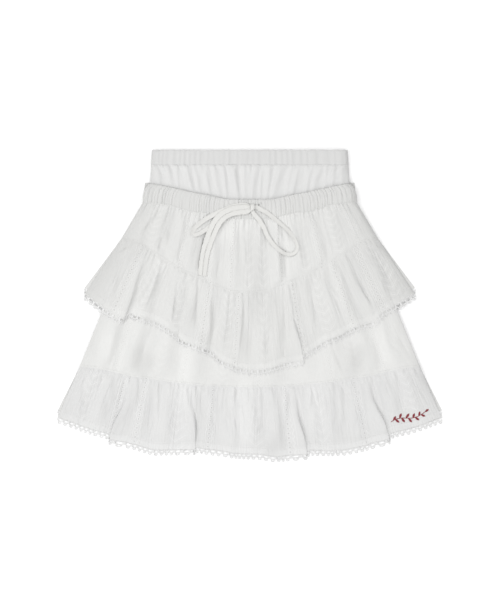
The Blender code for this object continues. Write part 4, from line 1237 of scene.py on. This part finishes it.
# ================================================================ cloth pieces
# Each piece's grid, then its cloth laid out flat: half its width on the skirt, how much
# wider its cut is, and its length
Flat = namedtuple("Flat", "half_width gather length")
Hem = namedtuple("Hem", "line half_width")
ClothPiece = namedtuple(
    "ClothPiece", "name node surface columns rows flat slot material stripes side hem thickness",
    defaults=[SideShade(10.0, 0.4), None, CLOTH])
CLOTH_PIECES = [
    ClothPiece("inner_casing", "inner_casing_front", casing_front, 300, 14,
               Flat(230.0, 1.0, CASING_DROP), "plain_cotton", CASING_COTTON, [],
               SideShade(5.0, 0.7), thickness=CASING_CLOTH),
    ClothPiece("inner_yoke", "inner_yoke_front", yoke_front, 320, 40,
               Flat(230.0, 1.0, 80.0), "plain_cotton", PLAIN_COTTON, [], SideShade(6.0, 0.7)),
    ClothPiece("waistband", "waistband_front", waistband_front, 620, 22,
               Flat(200.0, 1.0, BAND_DROP), "patterned_cotton", BAND_COTTON,
               UPPER_PANEL_STRIPES, SideShade(8.0, 0.7), thickness=BAND_CLOTH),
    ClothPiece("upper_panel", "upper_panel_front", upper_panel_front, 520, 62,
               Flat(SEAM_HALF_WIDTH, 1.2, UPPER_PANEL_DROP), "patterned_cotton",
               PANEL_COTTON, UPPER_PANEL_STRIPES, SideShade(17.0, 0.9)),
    ClothPiece("upper_ruffle", "upper_ruffle_front", upper_ruffle_front, 640, 64,
               Flat(RUFFLE_HALF_WIDTH, 1.3, 112.0), "patterned_cotton", RUFFLE_COTTON,
               UPPER_RUFFLE_STRIPES, SideShade(21.0, 0.95), Hem(upper_hem, RUFFLE_HALF_WIDTH)),
    ClothPiece("lower_panel", "lower_panel_front", lower_panel_front, 320, 56,
               Flat(UNDER_SEAM_HALF_WIDTH, 1.1, 210.0), "patterned_cotton", UNDER_COTTON,
               LOWER_PANEL_STRIPES, SideShade(13.0, 0.5)),
    ClothPiece("lower_ruffle", "lower_ruffle_front", lower_ruffle_front, 700, 54,
               Flat(HEM_HALF_WIDTH, 1.35, 96.0), "patterned_cotton", LOWER_COTTON,
               LOWER_RUFFLE_STRIPES, SideShade(20.0, 0.45), Hem(hem, HEM_HALF_WIDTH)),
    ClothPiece("back_casing", "inner_casing_back", back_casing, 180, 8,
               Flat(260.0, 1.2, 48.0), "plain_cotton", PLAIN_COTTON, LOWER_RUFFLE_STRIPES),
    ClothPiece("back_yoke", "inner_yoke_back", back_yoke, 180, 24,
               Flat(260.0, 1.2, 65.0), "plain_cotton", PLAIN_COTTON, LOWER_RUFFLE_STRIPES),
    ClothPiece("back_waistband", "waistband_back", back_waistband, 300, 10,
               Flat(260.0, 1.2, 52.0), "patterned_cotton", BAND_COTTON, LOWER_RUFFLE_STRIPES),
    ClothPiece("back_upper_panel", "upper_panel_back", back_upper_panel, 240, 26,
               Flat(260.0, 1.2, 115.0), "patterned_cotton", PANEL_COTTON, LOWER_RUFFLE_STRIPES),
    ClothPiece("back_upper_ruffle", "upper_ruffle_back", back_upper_ruffle, 280, 28,
               Flat(260.0, 1.2, 110.0), "patterned_cotton", RUFFLE_COTTON, LOWER_RUFFLE_STRIPES,
               hem=Hem(back_upper_hem, RUFFLE_HALF_WIDTH)),
    ClothPiece("back_lower_panel", "lower_panel_back", back_lower_panel, 160, 30,
               Flat(260.0, 1.2, 185.0), "patterned_cotton", PANEL_COTTON, LOWER_RUFFLE_STRIPES),
    ClothPiece("back_lower_ruffle", "lower_ruffle_back", back_lower_ruffle, 300, 24,
               Flat(260.0, 1.2, 95.0), "patterned_cotton", RUFFLE_COTTON, LOWER_RUFFLE_STRIPES,
               hem=Hem(back_hem, HEM_HALF_WIDTH)),
]


def turned_hem_at(points, across, edge):
    """1 in the turned-up hem and 0 above it."""
    if edge is None:
        return np.zeros_like(across)
    above = points[..., 1] - edge.line(across * edge.half_width)
    return 1.0 - ease((above - HEM_TURN) / 0.8)


def add_cloth():
    for piece in CLOTH_PIECES:
        across, down = grid_of(piece.columns, piece.rows)
        points = piece.surface(across, down)
        flat_x = across * piece.flat.half_width
        cloth_uv = np.stack([flat_x * piece.flat.gather, down * piece.flat.length], axis=-1)
        cloth = cloth_shell(piece.name, points, cloth_uv, piece.material, piece.thickness,
                            turned_hem_at(points, across, piece.hem),
                            Stripes(piece.stripes, flat_x), piece.side)
        finish_piece(cloth, piece.slot, piece.node)


# ================================================================ lace
Yarn = namedtuple("Yarn", "wide thick")
HEADING_YARN = Yarn(0.30, 0.20)
POST_YARN = Yarn(1.35, 0.26)
ARCH_YARN = Yarn(0.62, 0.34)
RING_YARN = Yarn(0.55, 0.32)
POST_ENDS = (0.5, -3.3)
RING_CENTRE = -5.55
RING_REACH = 1.85
RING_RISE = 1.75


def add_yarn(build, points, yarn):
    """A flat yarn along points in a plane, closed at both ends."""
    rings = []
    for number, point in enumerate(points):
        before = points[max(0, number - 1)]
        after = points[min(len(points) - 1, number + 1)]
        run = Vector((after[0] - before[0], after[1] - before[1], 0.0)).normalized()
        side = Vector((-run.y, run.x, 0.0)) * yarn.wide
        up = Vector((0.0, 0.0, yarn.thick))
        middle = Vector((point[0], point[1], 0.0))
        corners = (side + up, up - side, -side - up, side - up)
        rings.append([build.verts.new(middle + corner) for corner in corners])
    for here, there in zip(rings, rings[1:]):
        for turn in range(4):
            after = (turn + 1) % 4
            build.faces.new((here[turn], there[turn], there[after], here[after]))
    build.faces.new(rings[0])
    build.faces.new(list(reversed(rings[-1])))


def lace_repeat(pitch, heading):
    """One repeat of the lace, lying flat: a scalloped heading sewn over the hem, a thick
    post, an arch under the hole and a ring that hangs from the arch."""
    build = bmesh.new()
    half = pitch / 2
    scallop = [(-half + pitch * turn / 4, heading * math.sin(math.pi * turn / 4) + 0.2)
               for turn in range(5)]
    add_yarn(build, scallop, HEADING_YARN)
    post = [(-half, POST_ENDS[0]), (-half, sum(POST_ENDS) / 2), (-half, POST_ENDS[1])]
    add_yarn(build, post, POST_YARN)
    arch = [(-half, -2.9), (-half / 2, -3.5), (0.0, -3.75), (half / 2, -3.5), (half, -2.9)]
    add_yarn(build, arch, ARCH_YARN)
    ring = [(RING_REACH * math.sin(a), RING_CENTRE + RING_RISE * math.cos(a))
            for a in (math.radians(35 + 290 * turn / 6) for turn in range(7))]
    add_yarn(build, ring, RING_YARN)
    bmesh.ops.recalc_face_normals(build, faces=build.faces)
    repeat = bpy.data.objects.new("lace_repeat", built_mesh(build, "lace_repeat"))
    bpy.context.scene.collection.objects.link(repeat)
    return repeat


def node_of(tree, kind, **settings):
    node = tree.nodes.new(kind)
    for label, value in settings.items():
        setattr(node, label, value)
    return node


def new_geometry_tree(name, inputs):
    """A geometry tree with a Geometry input and output and the named inputs."""
    tree = bpy.data.node_groups.new(name, "GeometryNodeTree")
    tree.interface.new_socket(name="Geometry", in_out="INPUT", socket_type="NodeSocketGeometry")
    for label, kind, default in inputs:
        socket = tree.interface.new_socket(name=label, in_out="INPUT", socket_type=kind)
        if default is not None:
            socket.default_value = default
    tree.interface.new_socket(name="Geometry", in_out="OUTPUT", socket_type="NodeSocketGeometry")
    return tree, node_of(tree, "NodeGroupInput").outputs, node_of(tree, "NodeGroupOutput").inputs


def end_tree(tree, points, rotation, unit_mesh, material, leave):
    """Puts a unit on each point, makes the units real and gives them their material."""
    array = node_of(tree, "GeometryNodeInstanceOnPoints")
    tree.links.new(points, array.inputs["Points"])
    tree.links.new(unit_mesh, array.inputs["Instance"])
    if rotation is not None:
        tree.links.new(rotation, array.inputs["Rotation"])
    real = node_of(tree, "GeometryNodeRealizeInstances")
    tree.links.new(array.outputs[0], real.inputs[0])
    painted = node_of(tree, "GeometryNodeSetMaterial")
    tree.links.new(real.outputs[0], painted.inputs["Geometry"])
    tree.links.new(material, painted.inputs["Material"])
    tree.links.new(painted.outputs[0], leave["Geometry"])


def lace_strip_tree():
    """Lace repeats side by side in a flat strip."""
    tree, entry, leave = new_geometry_tree("lace_strip", [
        ("Repeat", "NodeSocketObject", None), ("Repeats", "NodeSocketInt", 10),
        ("Pitch", "NodeSocketFloat", 7.9), ("Yarn", "NodeSocketMaterial", None)])
    half = node_of(tree, "ShaderNodeMath", operation="MULTIPLY")
    half.inputs[1].default_value = 0.5
    tree.links.new(entry["Pitch"], half.inputs[0])
    start = node_of(tree, "ShaderNodeCombineXYZ")
    tree.links.new(half.outputs[0], start.inputs[0])
    step = node_of(tree, "ShaderNodeCombineXYZ")
    tree.links.new(entry["Pitch"], step.inputs[0])
    line = node_of(tree, "GeometryNodeMeshLine")
    tree.links.new(entry["Repeats"], line.inputs["Count"])
    tree.links.new(start.outputs[0], line.inputs["Start Location"])
    tree.links.new(step.outputs[0], line.inputs["Offset"])
    repeat = node_of(tree, "GeometryNodeObjectInfo")
    tree.links.new(entry["Repeat"], repeat.inputs["Object"])
    end_tree(tree, line.outputs["Mesh"], None, repeat.outputs["Geometry"], entry["Yarn"], leave)
    return tree


def made_by(tree, name, mesh, **values):
    """The plain mesh that a geometry tree makes from a mesh."""
    carrier = bpy.data.objects.new(name, mesh)
    bpy.context.scene.collection.objects.link(carrier)
    modifier = carrier.modifiers.new("make", "NODES")
    modifier.node_group = tree
    sockets = {item.name: item.identifier for item in tree.interface.items_tree
               if item.in_out == "INPUT"}
    for label, value in values.items():
        modifier[sockets[label]] = value
    depsgraph = bpy.context.evaluated_depsgraph_get()
    result = bpy.data.meshes.new_from_object(carrier.evaluated_get(depsgraph))
    result.name = name
    bpy.data.objects.remove(carrier)
    return result


LACE_STRIP = lace_strip_tree()
LACE_LIFT = 0.22            # the yarns' middle over the cloth's face
LACE_CLEARANCE = 0.4        # and over what is below the lace

# lean is how far the picots turn outwards at the ends, droop how far they hang
Lace = namedtuple("Lace", "name node surface half_width holes length lean droop floor heading")


def on_hem(lace, share, below):
    """Places on a ruffle's face, or where below is above 0, that far past its hem."""
    share = np.clip(share, -1.0, 1.0)
    over = np.clip(-below, 0.0, None)
    under = np.clip(below, 0.0, None)
    edge = lace.surface(share, 1.0 - over / 100.0)
    sideways = lace.lean * share
    x = edge[:, 0] + sideways * under
    y = edge[:, 1] - under * np.sqrt(1.0 - sideways ** 2)
    z = edge[:, 2] + CLOTH / 2 + LACE_LIFT - lace.droop * np.clip(under / 4.0, 0.0, 1.0)
    return np.stack([x, y, np.maximum(lace.floor(x, y) + LACE_CLEARANCE, z)], axis=-1)


def add_lace(lace):
    """The flat strip of repeats, bent along a ruffle's edge. It lies on the edge's face."""
    pitch = lace.length / lace.holes
    repeat = lace_repeat(pitch, lace.heading)
    strip = made_by(LACE_STRIP, lace.name, bpy.data.meshes.new(lace.name + "_start"),
                    Repeat=repeat, Repeats=lace.holes, Pitch=pitch, Yarn=LACE_YARN)
    bpy.data.objects.remove(repeat)
    flat = np.empty(len(strip.vertices) * 3)
    strip.vertices.foreach_get("co", flat)
    flat = flat.reshape(-1, 3)
    across = -1.0 + 2.0 * flat[:, 0] / (lace.holes * pitch)
    depth = -flat[:, 1]
    nudge = 0.5
    nudge_across = nudge / lace.half_width
    along = on_hem(lace, across + nudge_across, depth) - on_hem(lace, across - nudge_across, depth)
    downwards = on_hem(lace, across, depth + nudge) - on_hem(lace, across, depth - nudge)
    normal = unit(np.cross(downwards, along))
    placed = (on_hem(lace, across, depth) + normal * flat[:, 2:3]) * MM
    strip.vertices.foreach_set("co", placed.ravel())
    turn_faces_outwards(strip)
    finish_piece(tidy_object(lace.name, strip, LACE_YARN), "lace", lace.node)


def over_lower_panel(x, y):
    """The lower panel's face, and beside it the surface that the skirt lies on."""
    beside = np.clip((np.abs(x) - under_half_width(y) - 2.0) / 6.0, 0.0, 1.0)
    return mix(under_height(x, y) + CLOTH / 2, 0.1, ease(beside))


LACES = [
    Lace("upper_lace", "upper_lace_front", upper_ruffle_front, RUFFLE_HALF_WIDTH, UPPER_HOLES,
         565.0, 0.5, 1.6, over_lower_panel, 2.3),
    Lace("hem_lace", "hem_lace_front", lower_ruffle_front, HEM_HALF_WIDTH, HEM_HOLES,
         580.0, 0.3, 1.4, on_surface, 0.7),
    Lace("back_upper_lace", "upper_lace_back", back_upper_ruffle, RUFFLE_HALF_WIDTH,
         UPPER_HOLES - 4, 530.0, 0.45, 0.2, on_surface, 0.7),
    Lace("back_hem_lace", "hem_lace_back", back_lower_ruffle, HEM_HALF_WIDTH, HEM_HOLES - 1,
         570.0, 0.25, 0.2, on_surface, 0.7),
]


def add_laces():
    for lace in LACES:
        add_lace(lace)


# ================================================================ drawstring
TAPE_SIDES = 16
TAPE_BEAD = 0.42            # the share of its thickness that only its edges have


def smooth_route(route, steps=6):
    """A smooth curve through a route's points."""
    ends = [route[0], *route, route[-1]]
    points = []
    for index in range(len(route) - 1):
        corners = [np.array(c) for c in ends[index:index + 4]]
        for step in range(steps):
            t = step / steps
            weights = (-0.5 * t + t * t - 0.5 * t ** 3, 1.0 - 2.5 * t * t + 1.5 * t ** 3,
                       0.5 * t + 2.0 * t * t - 1.5 * t ** 3, -0.5 * t * t + 0.5 * t ** 3)
            points.append(sum(w * c for w, c in zip(weights, corners)))
    points.append(np.array(route[-1], dtype=float))
    return np.array(points)


def tape_mesh(name, path, roll, width, thickness=TAPE_THICKNESS):
    """Flat tube of cloth along a path, puckered along its length, with its edges thicker
    than its middle. roll turns its width, in degrees, and both roll and width have a
    value a point."""
    tangent = unit(np.gradient(path, axis=0))
    flat_side = unit(np.cross(tangent, np.array([0.0, 0.0, 1.0])))
    up = np.cross(flat_side, tangent)
    turn = np.radians(roll)[:, None]
    wide = flat_side * np.cos(turn) + up * np.sin(turn)
    thick = up * np.cos(turn) - flat_side * np.sin(turn)
    travelled = np.concatenate([[0.0], np.cumsum(np.linalg.norm(np.diff(path, axis=0), axis=1))])
    angles = math.tau * (np.arange(TAPE_SIDES) + 0.5) / TAPE_SIDES
    rings = []
    for angle in angles:
        c, s = math.cos(angle), math.sin(angle)
        pucker = 1.0 + 0.03 * np.sin(travelled * 1.5 + 2.0 * s) + 0.03 * np.sin(travelled * 0.57)
        reach = width / 2 * math.copysign(abs(c) ** 0.8, c) * pucker
        bead = 1.0 - TAPE_BEAD + TAPE_BEAD * math.exp(-((abs(c) - 0.8) / 0.16) ** 2)
        rise = thickness / 2 * math.copysign(abs(s) ** 0.45, s) * bead
        ripple = 1.0 + 0.25 * np.sin(travelled * 0.9 + 1.7 * c) * np.sin(travelled * 0.31 + c)
        rings.append(path + wide * reach[:, None] + thick * (rise * ripple)[:, None])
    count = len(path)
    rings = np.stack(rings, axis=1).reshape(-1, 3)
    corners = np.concatenate([rings, path[:1], path[-1:]]) * MM
    index = np.arange(count * TAPE_SIDES).reshape(count, TAPE_SIDES)
    shifted = np.roll(index, -1, axis=1)
    faces = np.stack([index[:-1], shifted[:-1], shifted[1:], index[1:]], axis=-1)
    faces = faces.reshape(-1, 4).tolist()
    first, last = count * TAPE_SIDES, count * TAPE_SIDES + 1
    faces += [[first, int(b), int(a)] for a, b in zip(index[0], shifted[0])]
    faces += [[last, int(a), int(b)] for a, b in zip(index[-1], shifted[-1])]
    mesh = bpy.data.meshes.new(name)
    mesh.from_pydata(corners.tolist(), [], faces)
    turn_faces_outwards(mesh)
    uv = np.zeros((len(corners), 2))
    uv[:first, 0] = np.repeat(travelled, TAPE_SIDES)
    uv[:first, 1] = np.tile(np.sin(angles) * 4.0 + angles, count)
    add_uv(mesh, "cloth", uv[corner_vertices(mesh)])
    return mesh


def along_path(path, values):
    """Values spread evenly over a path's points."""
    return np.interp(np.arange(len(path)), np.linspace(0, len(path) - 1, len(values)), values)


def laid(route, heights):
    return [point._replace(z=height) for point, height in zip(route, heights)]


Tape = namedtuple("Tape", "name node route length far_end rolls widths")
TAPES = [
    Tape("bow_right_loop", "drawstring_right_loop", laid(RIGHT_LOOP, RIGHT_LOOP_REST),
         0.174, "object", [4, 10, 16, 12, 0, -10, -14, -6, 3, 6, 5],
         [7.0, 6.0, 5.4, 5.4, 6.0, 6.6, 6.8]),
    Tape("bow_left_loop", "drawstring_left_loop", laid(LEFT_LOOP, LEFT_LOOP_REST),
         0.172, "object", [-4, -6, -3, 4, 14, 16, 5, -4, -6, -3], [7.2, 7.2, 6.2, 6.8, 7.0]),
    Tape("bow_first_tail", "drawstring_first_tail", laid(FIRST_TAIL, FIRST_TAIL_REST),
         0.124, "bare", [-3, -5, -6, -6, -4, -1, 2, 2], [7.4, 7.8, 7.6, 7.2, 6.6, 6.2]),
    Tape("bow_second_tail", "drawstring_second_tail", laid(SECOND_TAIL, SECOND_TAIL_REST),
         0.130, "bare", [-4, -6, -8, -8, -6, -3, -1, 2], [7.2, 7.6, 7.6, 7.4, 6.8, 6.4]),
]


def add_tape(tape):
    path = smooth_route(tape.route)
    mesh = tape_mesh(tape.name, path, along_path(path, tape.rolls), along_path(path, tape.widths))
    piece = tidy_object(tape.name, mesh, TAPE_COTTON)
    finish_piece(piece, "drawstring", tape.node)


# Each run of tape in the knot: the end of its route, and where it passes on to the core
Run = namedtuple("Run", "route middle roll width")
RIGHT_LAID, LEFT_LAID, FIRST_LAID, SECOND_LAID = (tape.route for tape in TAPES)
KNOT_RUNS = [
    Run(LEFT_LAID, Cord(-4.0, 144.9, 11.8), -4, 7.2),
    Run(LEFT_LAID[::-1], Cord(-4.0, 140.4, 11.8), -3, 7.0),
    Run(FIRST_LAID, Cord(-0.5, 137.8, 13.1), -3, 7.4),
    Run(SECOND_LAID, Cord(-2.6, 142.4, 13.3), -4, 7.2),
    Run(RIGHT_LAID, Cord(7.6, 142.6, 11.8), 4, 7.0),
    Run(RIGHT_LAID[::-1], Cord(4.0, 137.0, 11.7), 5, 6.8),
]
KNOT_START = 9              # the point of its curve at which a run joins the knot
CORE_WIDTHS = (5.6, 4.0)
WRAP_STEPS = 26
WRAP_SIDES = 10


def add_wrap(build):
    """The turn of tape that wraps over the knot's core."""
    centre = Vector(KNOT_CORE) + Vector((0.6, 0.2, 0.9))
    rings = []
    for step in range(WRAP_STEPS):
        angle = math.tau * step / WRAP_STEPS
        round_core = Vector((0.9 * math.sin(angle), 4.4 * math.cos(angle), 1.9 * math.sin(angle)))
        out = Vector((0.0, math.cos(angle), 1.3 * math.sin(angle))).normalized()
        ring = []
        for side in range(WRAP_SIDES):
            turned = math.tau * side / WRAP_SIDES
            wide = Vector((2.6 * math.cos(turned), 0.6 * math.cos(turned), 0.0))
            fold = 0.62 + 0.12 * math.cos(3 * turned)
            point = centre + round_core + wide + out * math.sin(turned) * fold
            ring.append(build.verts.new(point * MM))
        rings.append(ring)
    for here, there in zip(rings, rings[1:] + rings[:1]):
        for side in range(WRAP_SIDES):
            after = (side + 1) % WRAP_SIDES
            build.faces.new((here[side], here[after], there[after], there[side]))


def add_knot():
    """The knot: each run of tape narrows into a small core, and one turn wraps over it."""
    build = bmesh.new()
    for run in KNOT_RUNS:
        path = smooth_route([*run.route[2::-1], run.middle, KNOT_CORE])[KNOT_START:]
        width = along_path(path, [run.width - 0.3, run.width - 0.4, *CORE_WIDTHS])
        mesh = tape_mesh("knot_run", path, along_path(path, [run.roll, run.roll, 0]), width,
                         TAPE_THICKNESS - 0.15)
        build.from_mesh(mesh)
        bpy.data.meshes.remove(mesh)
    add_wrap(build)
    bmesh.ops.recalc_face_normals(build, faces=build.faces)
    mesh = built_mesh(build, "bow_knot")
    finish_piece(tidy_object("bow_knot", mesh, TAPE_COTTON), "drawstring", "drawstring_knot")


def add_drawstring():
    for tape in TAPES:
        add_tape(tape)
    add_knot()


add_drawstring()
add_cloth()
add_laces()


# ================================================================ the fields of a piece's cut
Cut = namedtuple("Cut", "name width length held rests_on edging", defaults=[None, None])


# ================================================================ sewing
THREAD_LIFT = 0.12          # a stitch's middle over the cloth's face
HEM_STITCHES_RISE = HEM_TURN - 0.8
LACE_STITCHES_RISE = 1.2


def stitch_row_tree():
    """Sewing stitches along a line of edges."""
    tree, entry, leave = new_geometry_tree("stitch_row", [
        ("Pitch", "NodeSocketFloat", 0.0028), ("Stitch length", "NodeSocketFloat", 0.0020),
        ("Thread radius", "NodeSocketFloat", 0.0002), ("Thread", "NodeSocketMaterial", None)])
    curve = node_of(tree, "GeometryNodeMeshToCurve")
    tree.links.new(entry["Geometry"], curve.inputs[0])
    points = node_of(tree, "GeometryNodeCurveToPoints", mode="LENGTH")
    tree.links.new(curve.outputs[0], points.inputs["Curve"])
    tree.links.new(entry["Pitch"], points.inputs["Length"])
    stitch = node_of(tree, "GeometryNodeMeshCylinder")
    stitch.inputs["Vertices"].default_value = 6
    tree.links.new(entry["Thread radius"], stitch.inputs["Radius"])
    tree.links.new(entry["Stitch length"], stitch.inputs["Depth"])
    end_tree(tree, points.outputs["Points"], points.outputs["Rotation"],
             stitch.outputs["Mesh"], entry["Thread"], leave)
    return tree


STITCH_ROW = stitch_row_tree()


def seam_line(name, points):
    mesh = bpy.data.meshes.new(name + "_line")
    edges = [(i, i + 1) for i in range(len(points) - 1)]
    mesh.from_pydata((points * MM).tolist(), edges, [])
    return mesh


def over_surface(surface, across, down, above, nudge):
    """Points above a surface, with its normals measured over a nudge each way."""
    side = surface(across + nudge, down) - surface(across - nudge, down)
    below = surface(across, np.clip(down + nudge, 0, 1)) - surface(
        across, np.clip(down - nudge, 0, 1))
    return surface(across, down) + unit(np.cross(below, side)) * above


def share_down(share):
    return lambda across: np.full_like(across, share)


def above_hem(surface, edge, half_width, rise):
    """How far down a line is that runs a rise above a hem."""
    def down_at(across):
        top = surface(across, np.zeros_like(across))[:, 1]
        return 1.0 - rise / (top - edge(across * half_width))
    return down_at


StitchRow = namedtuple("StitchRow", "name surface down_at cloth", defaults=[CLOTH])
STITCH_ROWS = [
    StitchRow("upper_hem_stitches", upper_ruffle_front,
              above_hem(upper_ruffle_front, upper_hem, RUFFLE_HALF_WIDTH, HEM_STITCHES_RISE)),
    StitchRow("hem_stitches", lower_ruffle_front,
              above_hem(lower_ruffle_front, hem, HEM_HALF_WIDTH, HEM_STITCHES_RISE)),
    StitchRow("hem_lace_stitches", lower_ruffle_front,
              above_hem(lower_ruffle_front, hem, HEM_HALF_WIDTH, LACE_STITCHES_RISE)),
    StitchRow("tier_seam_stitches", upper_panel_front, share_down(0.982)),
    StitchRow("second_seam_stitches", lower_panel_front, share_down(0.988)),
    StitchRow("casing_stitches", yoke_front, share_down(0.012)),
    StitchRow("waistband_edge_stitches", waistband_front, share_down(0.93), BAND_CLOTH),
]


def add_stitches():
    across = np.linspace(-0.985, 0.985, 900)
    for row in STITCH_ROWS:
        points = over_surface(row.surface, across, row.down_at(across),
                              row.cloth / 2 + THREAD_LIFT, nudge=0.002)
        mesh = made_by(STITCH_ROW, row.name, seam_line(row.name, points), Thread=SEWING_THREAD)
        finish_piece(tidy_object(row.name, mesh, SEWING_THREAD), "patterned_cotton")


add_stitches()


# ================================================================ sprig and slit
def lay_on(build, surface, half_width, drop, above):
    """Flat work in millimetres laid on a surface and turned into metres."""
    flat = np.array([vertex.co for vertex in build.verts])
    x, y = flat[:, 0], flat[:, 1]
    across = x / half_width
    down = np.full_like(x, 0.5)
    for _ in range(30):
        point = surface(across, down)
        across = np.clip(across + 0.8 * (x - point[:, 0]) / half_width, -0.999, 0.999)
        down = np.clip(down + 0.8 * (point[:, 1] - y) / drop, 0.001, 0.999)
    placed = over_surface(surface, across, down, flat[:, 2:3] + above, nudge=0.001) * MM
    for vertex, place in zip(build.verts, placed):
        vertex.co = place


def finish_flat_work(build, name, surface, half_width, drop, above, material, slot):
    bmesh.ops.recalc_face_normals(build, faces=build.faces)
    lay_on(build, surface, half_width, drop, above)
    finish_piece(tidy_object(name, built_mesh(build, name), material), slot)


def between(start, end, share):
    return mix(start.x, end.x, share), mix(start.y, end.y, share)


SPRIG_STEM = [
    Line(203.5, -166.5), Line(210, -162.5), Line(218, -160.8), Line(226, -161.2),
    Line(234, -161.0), Line(242, -158.6), Line(249, -154.6), Line(254, -150.8),
]
Leaf = namedtuple("Leaf", "x y turn length width")
SPRIG_LEAVES = [
    Leaf(207, -164.2, 62, 6.6, 2.8), Leaf(209.5, -162.8, -38, 7.4, 3.0),
    Leaf(215.5, -161.2, 68, 7.4, 3.0), Leaf(218.5, -160.8, -52, 7.8, 3.2),
    Leaf(225, -161.1, 55, 8.0, 3.2), Leaf(228.5, -161.3, -48, 7.6, 3.0),
    Leaf(235, -160.8, 72, 7.0, 3.0), Leaf(238, -159.8, -34, 7.4, 3.0),
    Leaf(243.5, -157.8, 78, 6.4, 2.6), Leaf(246.5, -156.0, -22, 6.6, 2.6),
    Leaf(252.5, -152.0, 36, 6.2, 2.6),
]
LEAF_STITCHES = 11
STEM_THREAD = Yarn(0.42, 0.3)
LEAF_THREAD = Yarn(0.40, 0.34)


def add_sprig():
    """A small embroidered sprig: a stem of backstitches and leaves in satin stitch."""
    build = bmesh.new()
    for start, end in zip(SPRIG_STEM, SPRIG_STEM[1:]):
        for share in (0.0, 0.5):
            ends = [between(start, end, share), between(start, end, share + 0.53)]
            add_yarn(build, ends, STEM_THREAD)
    for leaf in SPRIG_LEAVES:
        turn = math.radians(leaf.turn)
        run = Vector((math.cos(turn), math.sin(turn)))
        side = Vector((-run.y, run.x))
        for number in range(LEAF_STITCHES):
            share = (number + 0.6) / LEAF_STITCHES
            half = leaf.width / 2 * math.sin(math.pi * share ** 0.85) ** 0.8
            middle = Vector((leaf.x, leaf.y)) + run * leaf.length * share
            slant = run * half * 0.55
            for way in (-1, 1):
                outer = middle + side * half * way + slant
                add_yarn(build, [tuple(middle - slant * 0.3), tuple(outer)], LEAF_THREAD)
    finish_flat_work(build, "leaf_sprig", lower_ruffle_front, HEM_HALF_WIDTH, LOWER_RUFFLE_DROP,
                     CLOTH / 2 + 0.15, RED_THREAD, "red_thread")


SLIT = [
    Line(7.2, 142.6), Line(9.4, 143.8), Line(11.8, 145.0), Line(14.2, 146.6), Line(16.6, 148.4),
]
SLIT_THREAD = Yarn(0.30, 0.3)
SLIT_SHADE = Yarn(0.5, 0.12)


def add_slit():
    """The slit beside the knot that the drawstring comes out of, with its stitched edge."""
    build = bmesh.new()
    for way in (-1, 1):
        for start, end in zip(SLIT, SLIT[1:]):
            for share in (0.0, 0.34, 0.67):
                x, y = between(start, end, share)
                stitch = [(x - 0.1 * way, y + 0.25 * way), (x - 0.75 * way, y + 1.25 * way)]
                add_yarn(build, stitch, SLIT_THREAD)
    finish_flat_work(build, "slit_stitches", waistband_front, BAND_TOP[-1].x, BAND_DROP,
                     BAND_CLOTH / 2 + 0.1, SEWING_THREAD, "patterned_cotton")
    # A dark strip along the slit is painted shade in its opening
    build = bmesh.new()
    add_yarn(build, [(line.x, line.y) for line in SLIT], SLIT_SHADE)
    finish_flat_work(build, "slit_shade", waistband_front, BAND_TOP[-1].x, BAND_DROP,
                     BAND_CLOTH / 2 + 0.05, SHADE_COTTON, "patterned_cotton")


add_sprig()
add_slit()


# ================================================================ floor and light
ROOM_SIDES = 0.36
ROOM_OVERHEAD = 1.15
FLOOR_SIZE = 8.0
FLOOR_HEIGHT = -0.0004


def add_floor():
    bpy.ops.mesh.primitive_plane_add(size=FLOOR_SIZE, location=(0.0, 0.0, FLOOR_HEIGHT))
    floor = bpy.context.object
    floor.name = "floor"
    floor.data.materials.append(new_material("pale_floor", (0.97, 0.97, 0.97), 0.9)[0])


def add_lamp(name, location, size, power):
    """A soft square lamp that points at the skirt."""
    data = bpy.data.lights.new(name, "AREA")
    data.shape = "SQUARE"
    data.size = size
    data.energy = power
    lamp = bpy.data.objects.new(name, data)
    lamp.location = location
    lamp.rotation_mode = "QUATERNION"
    lamp.rotation_quaternion = (-Vector(location)).to_track_quat("-Z", "Y")
    bpy.context.scene.collection.objects.link(lamp)


def add_light():
    """A white room that is brightest overhead, and three large soft lamps."""
    world = bpy.data.worlds.new("soft_room")
    world.use_nodes = True
    tree = world.node_tree
    background = tree.nodes["Background"]
    background.inputs["Color"].default_value = (1.0, 1.0, 1.0, 1.0)
    ray = tree.nodes.new("ShaderNodeNewGeometry")
    split = tree.nodes.new("ShaderNodeSeparateXYZ")
    tree.links.new(ray.outputs["Incoming"], split.inputs[0])
    height = sum_node(tree, "MAXIMUM", sum_node(tree, "MULTIPLY", split.outputs[2], -1.0), 0.0)
    overhead = sum_node(tree, "MULTIPLY", height, height)
    strength = sum_node(tree, "MULTIPLY_ADD", overhead, ROOM_OVERHEAD, ROOM_SIDES)
    tree.links.new(strength, background.inputs["Strength"])
    bpy.context.scene.world = world
    add_lamp("key_light", (-2.0, 0.2, 1.5), 1.2, 19.5)
    add_lamp("side_light", (1.8, 0.5, 1.4), 1.4, 3.0)
    add_lamp("front_light", (0.2, -2.0, 1.2), 1.4, 4.0)
    view = bpy.context.scene.view_settings
    view.view_transform = "Standard"
    view.look = "None"


add_floor()
add_light()
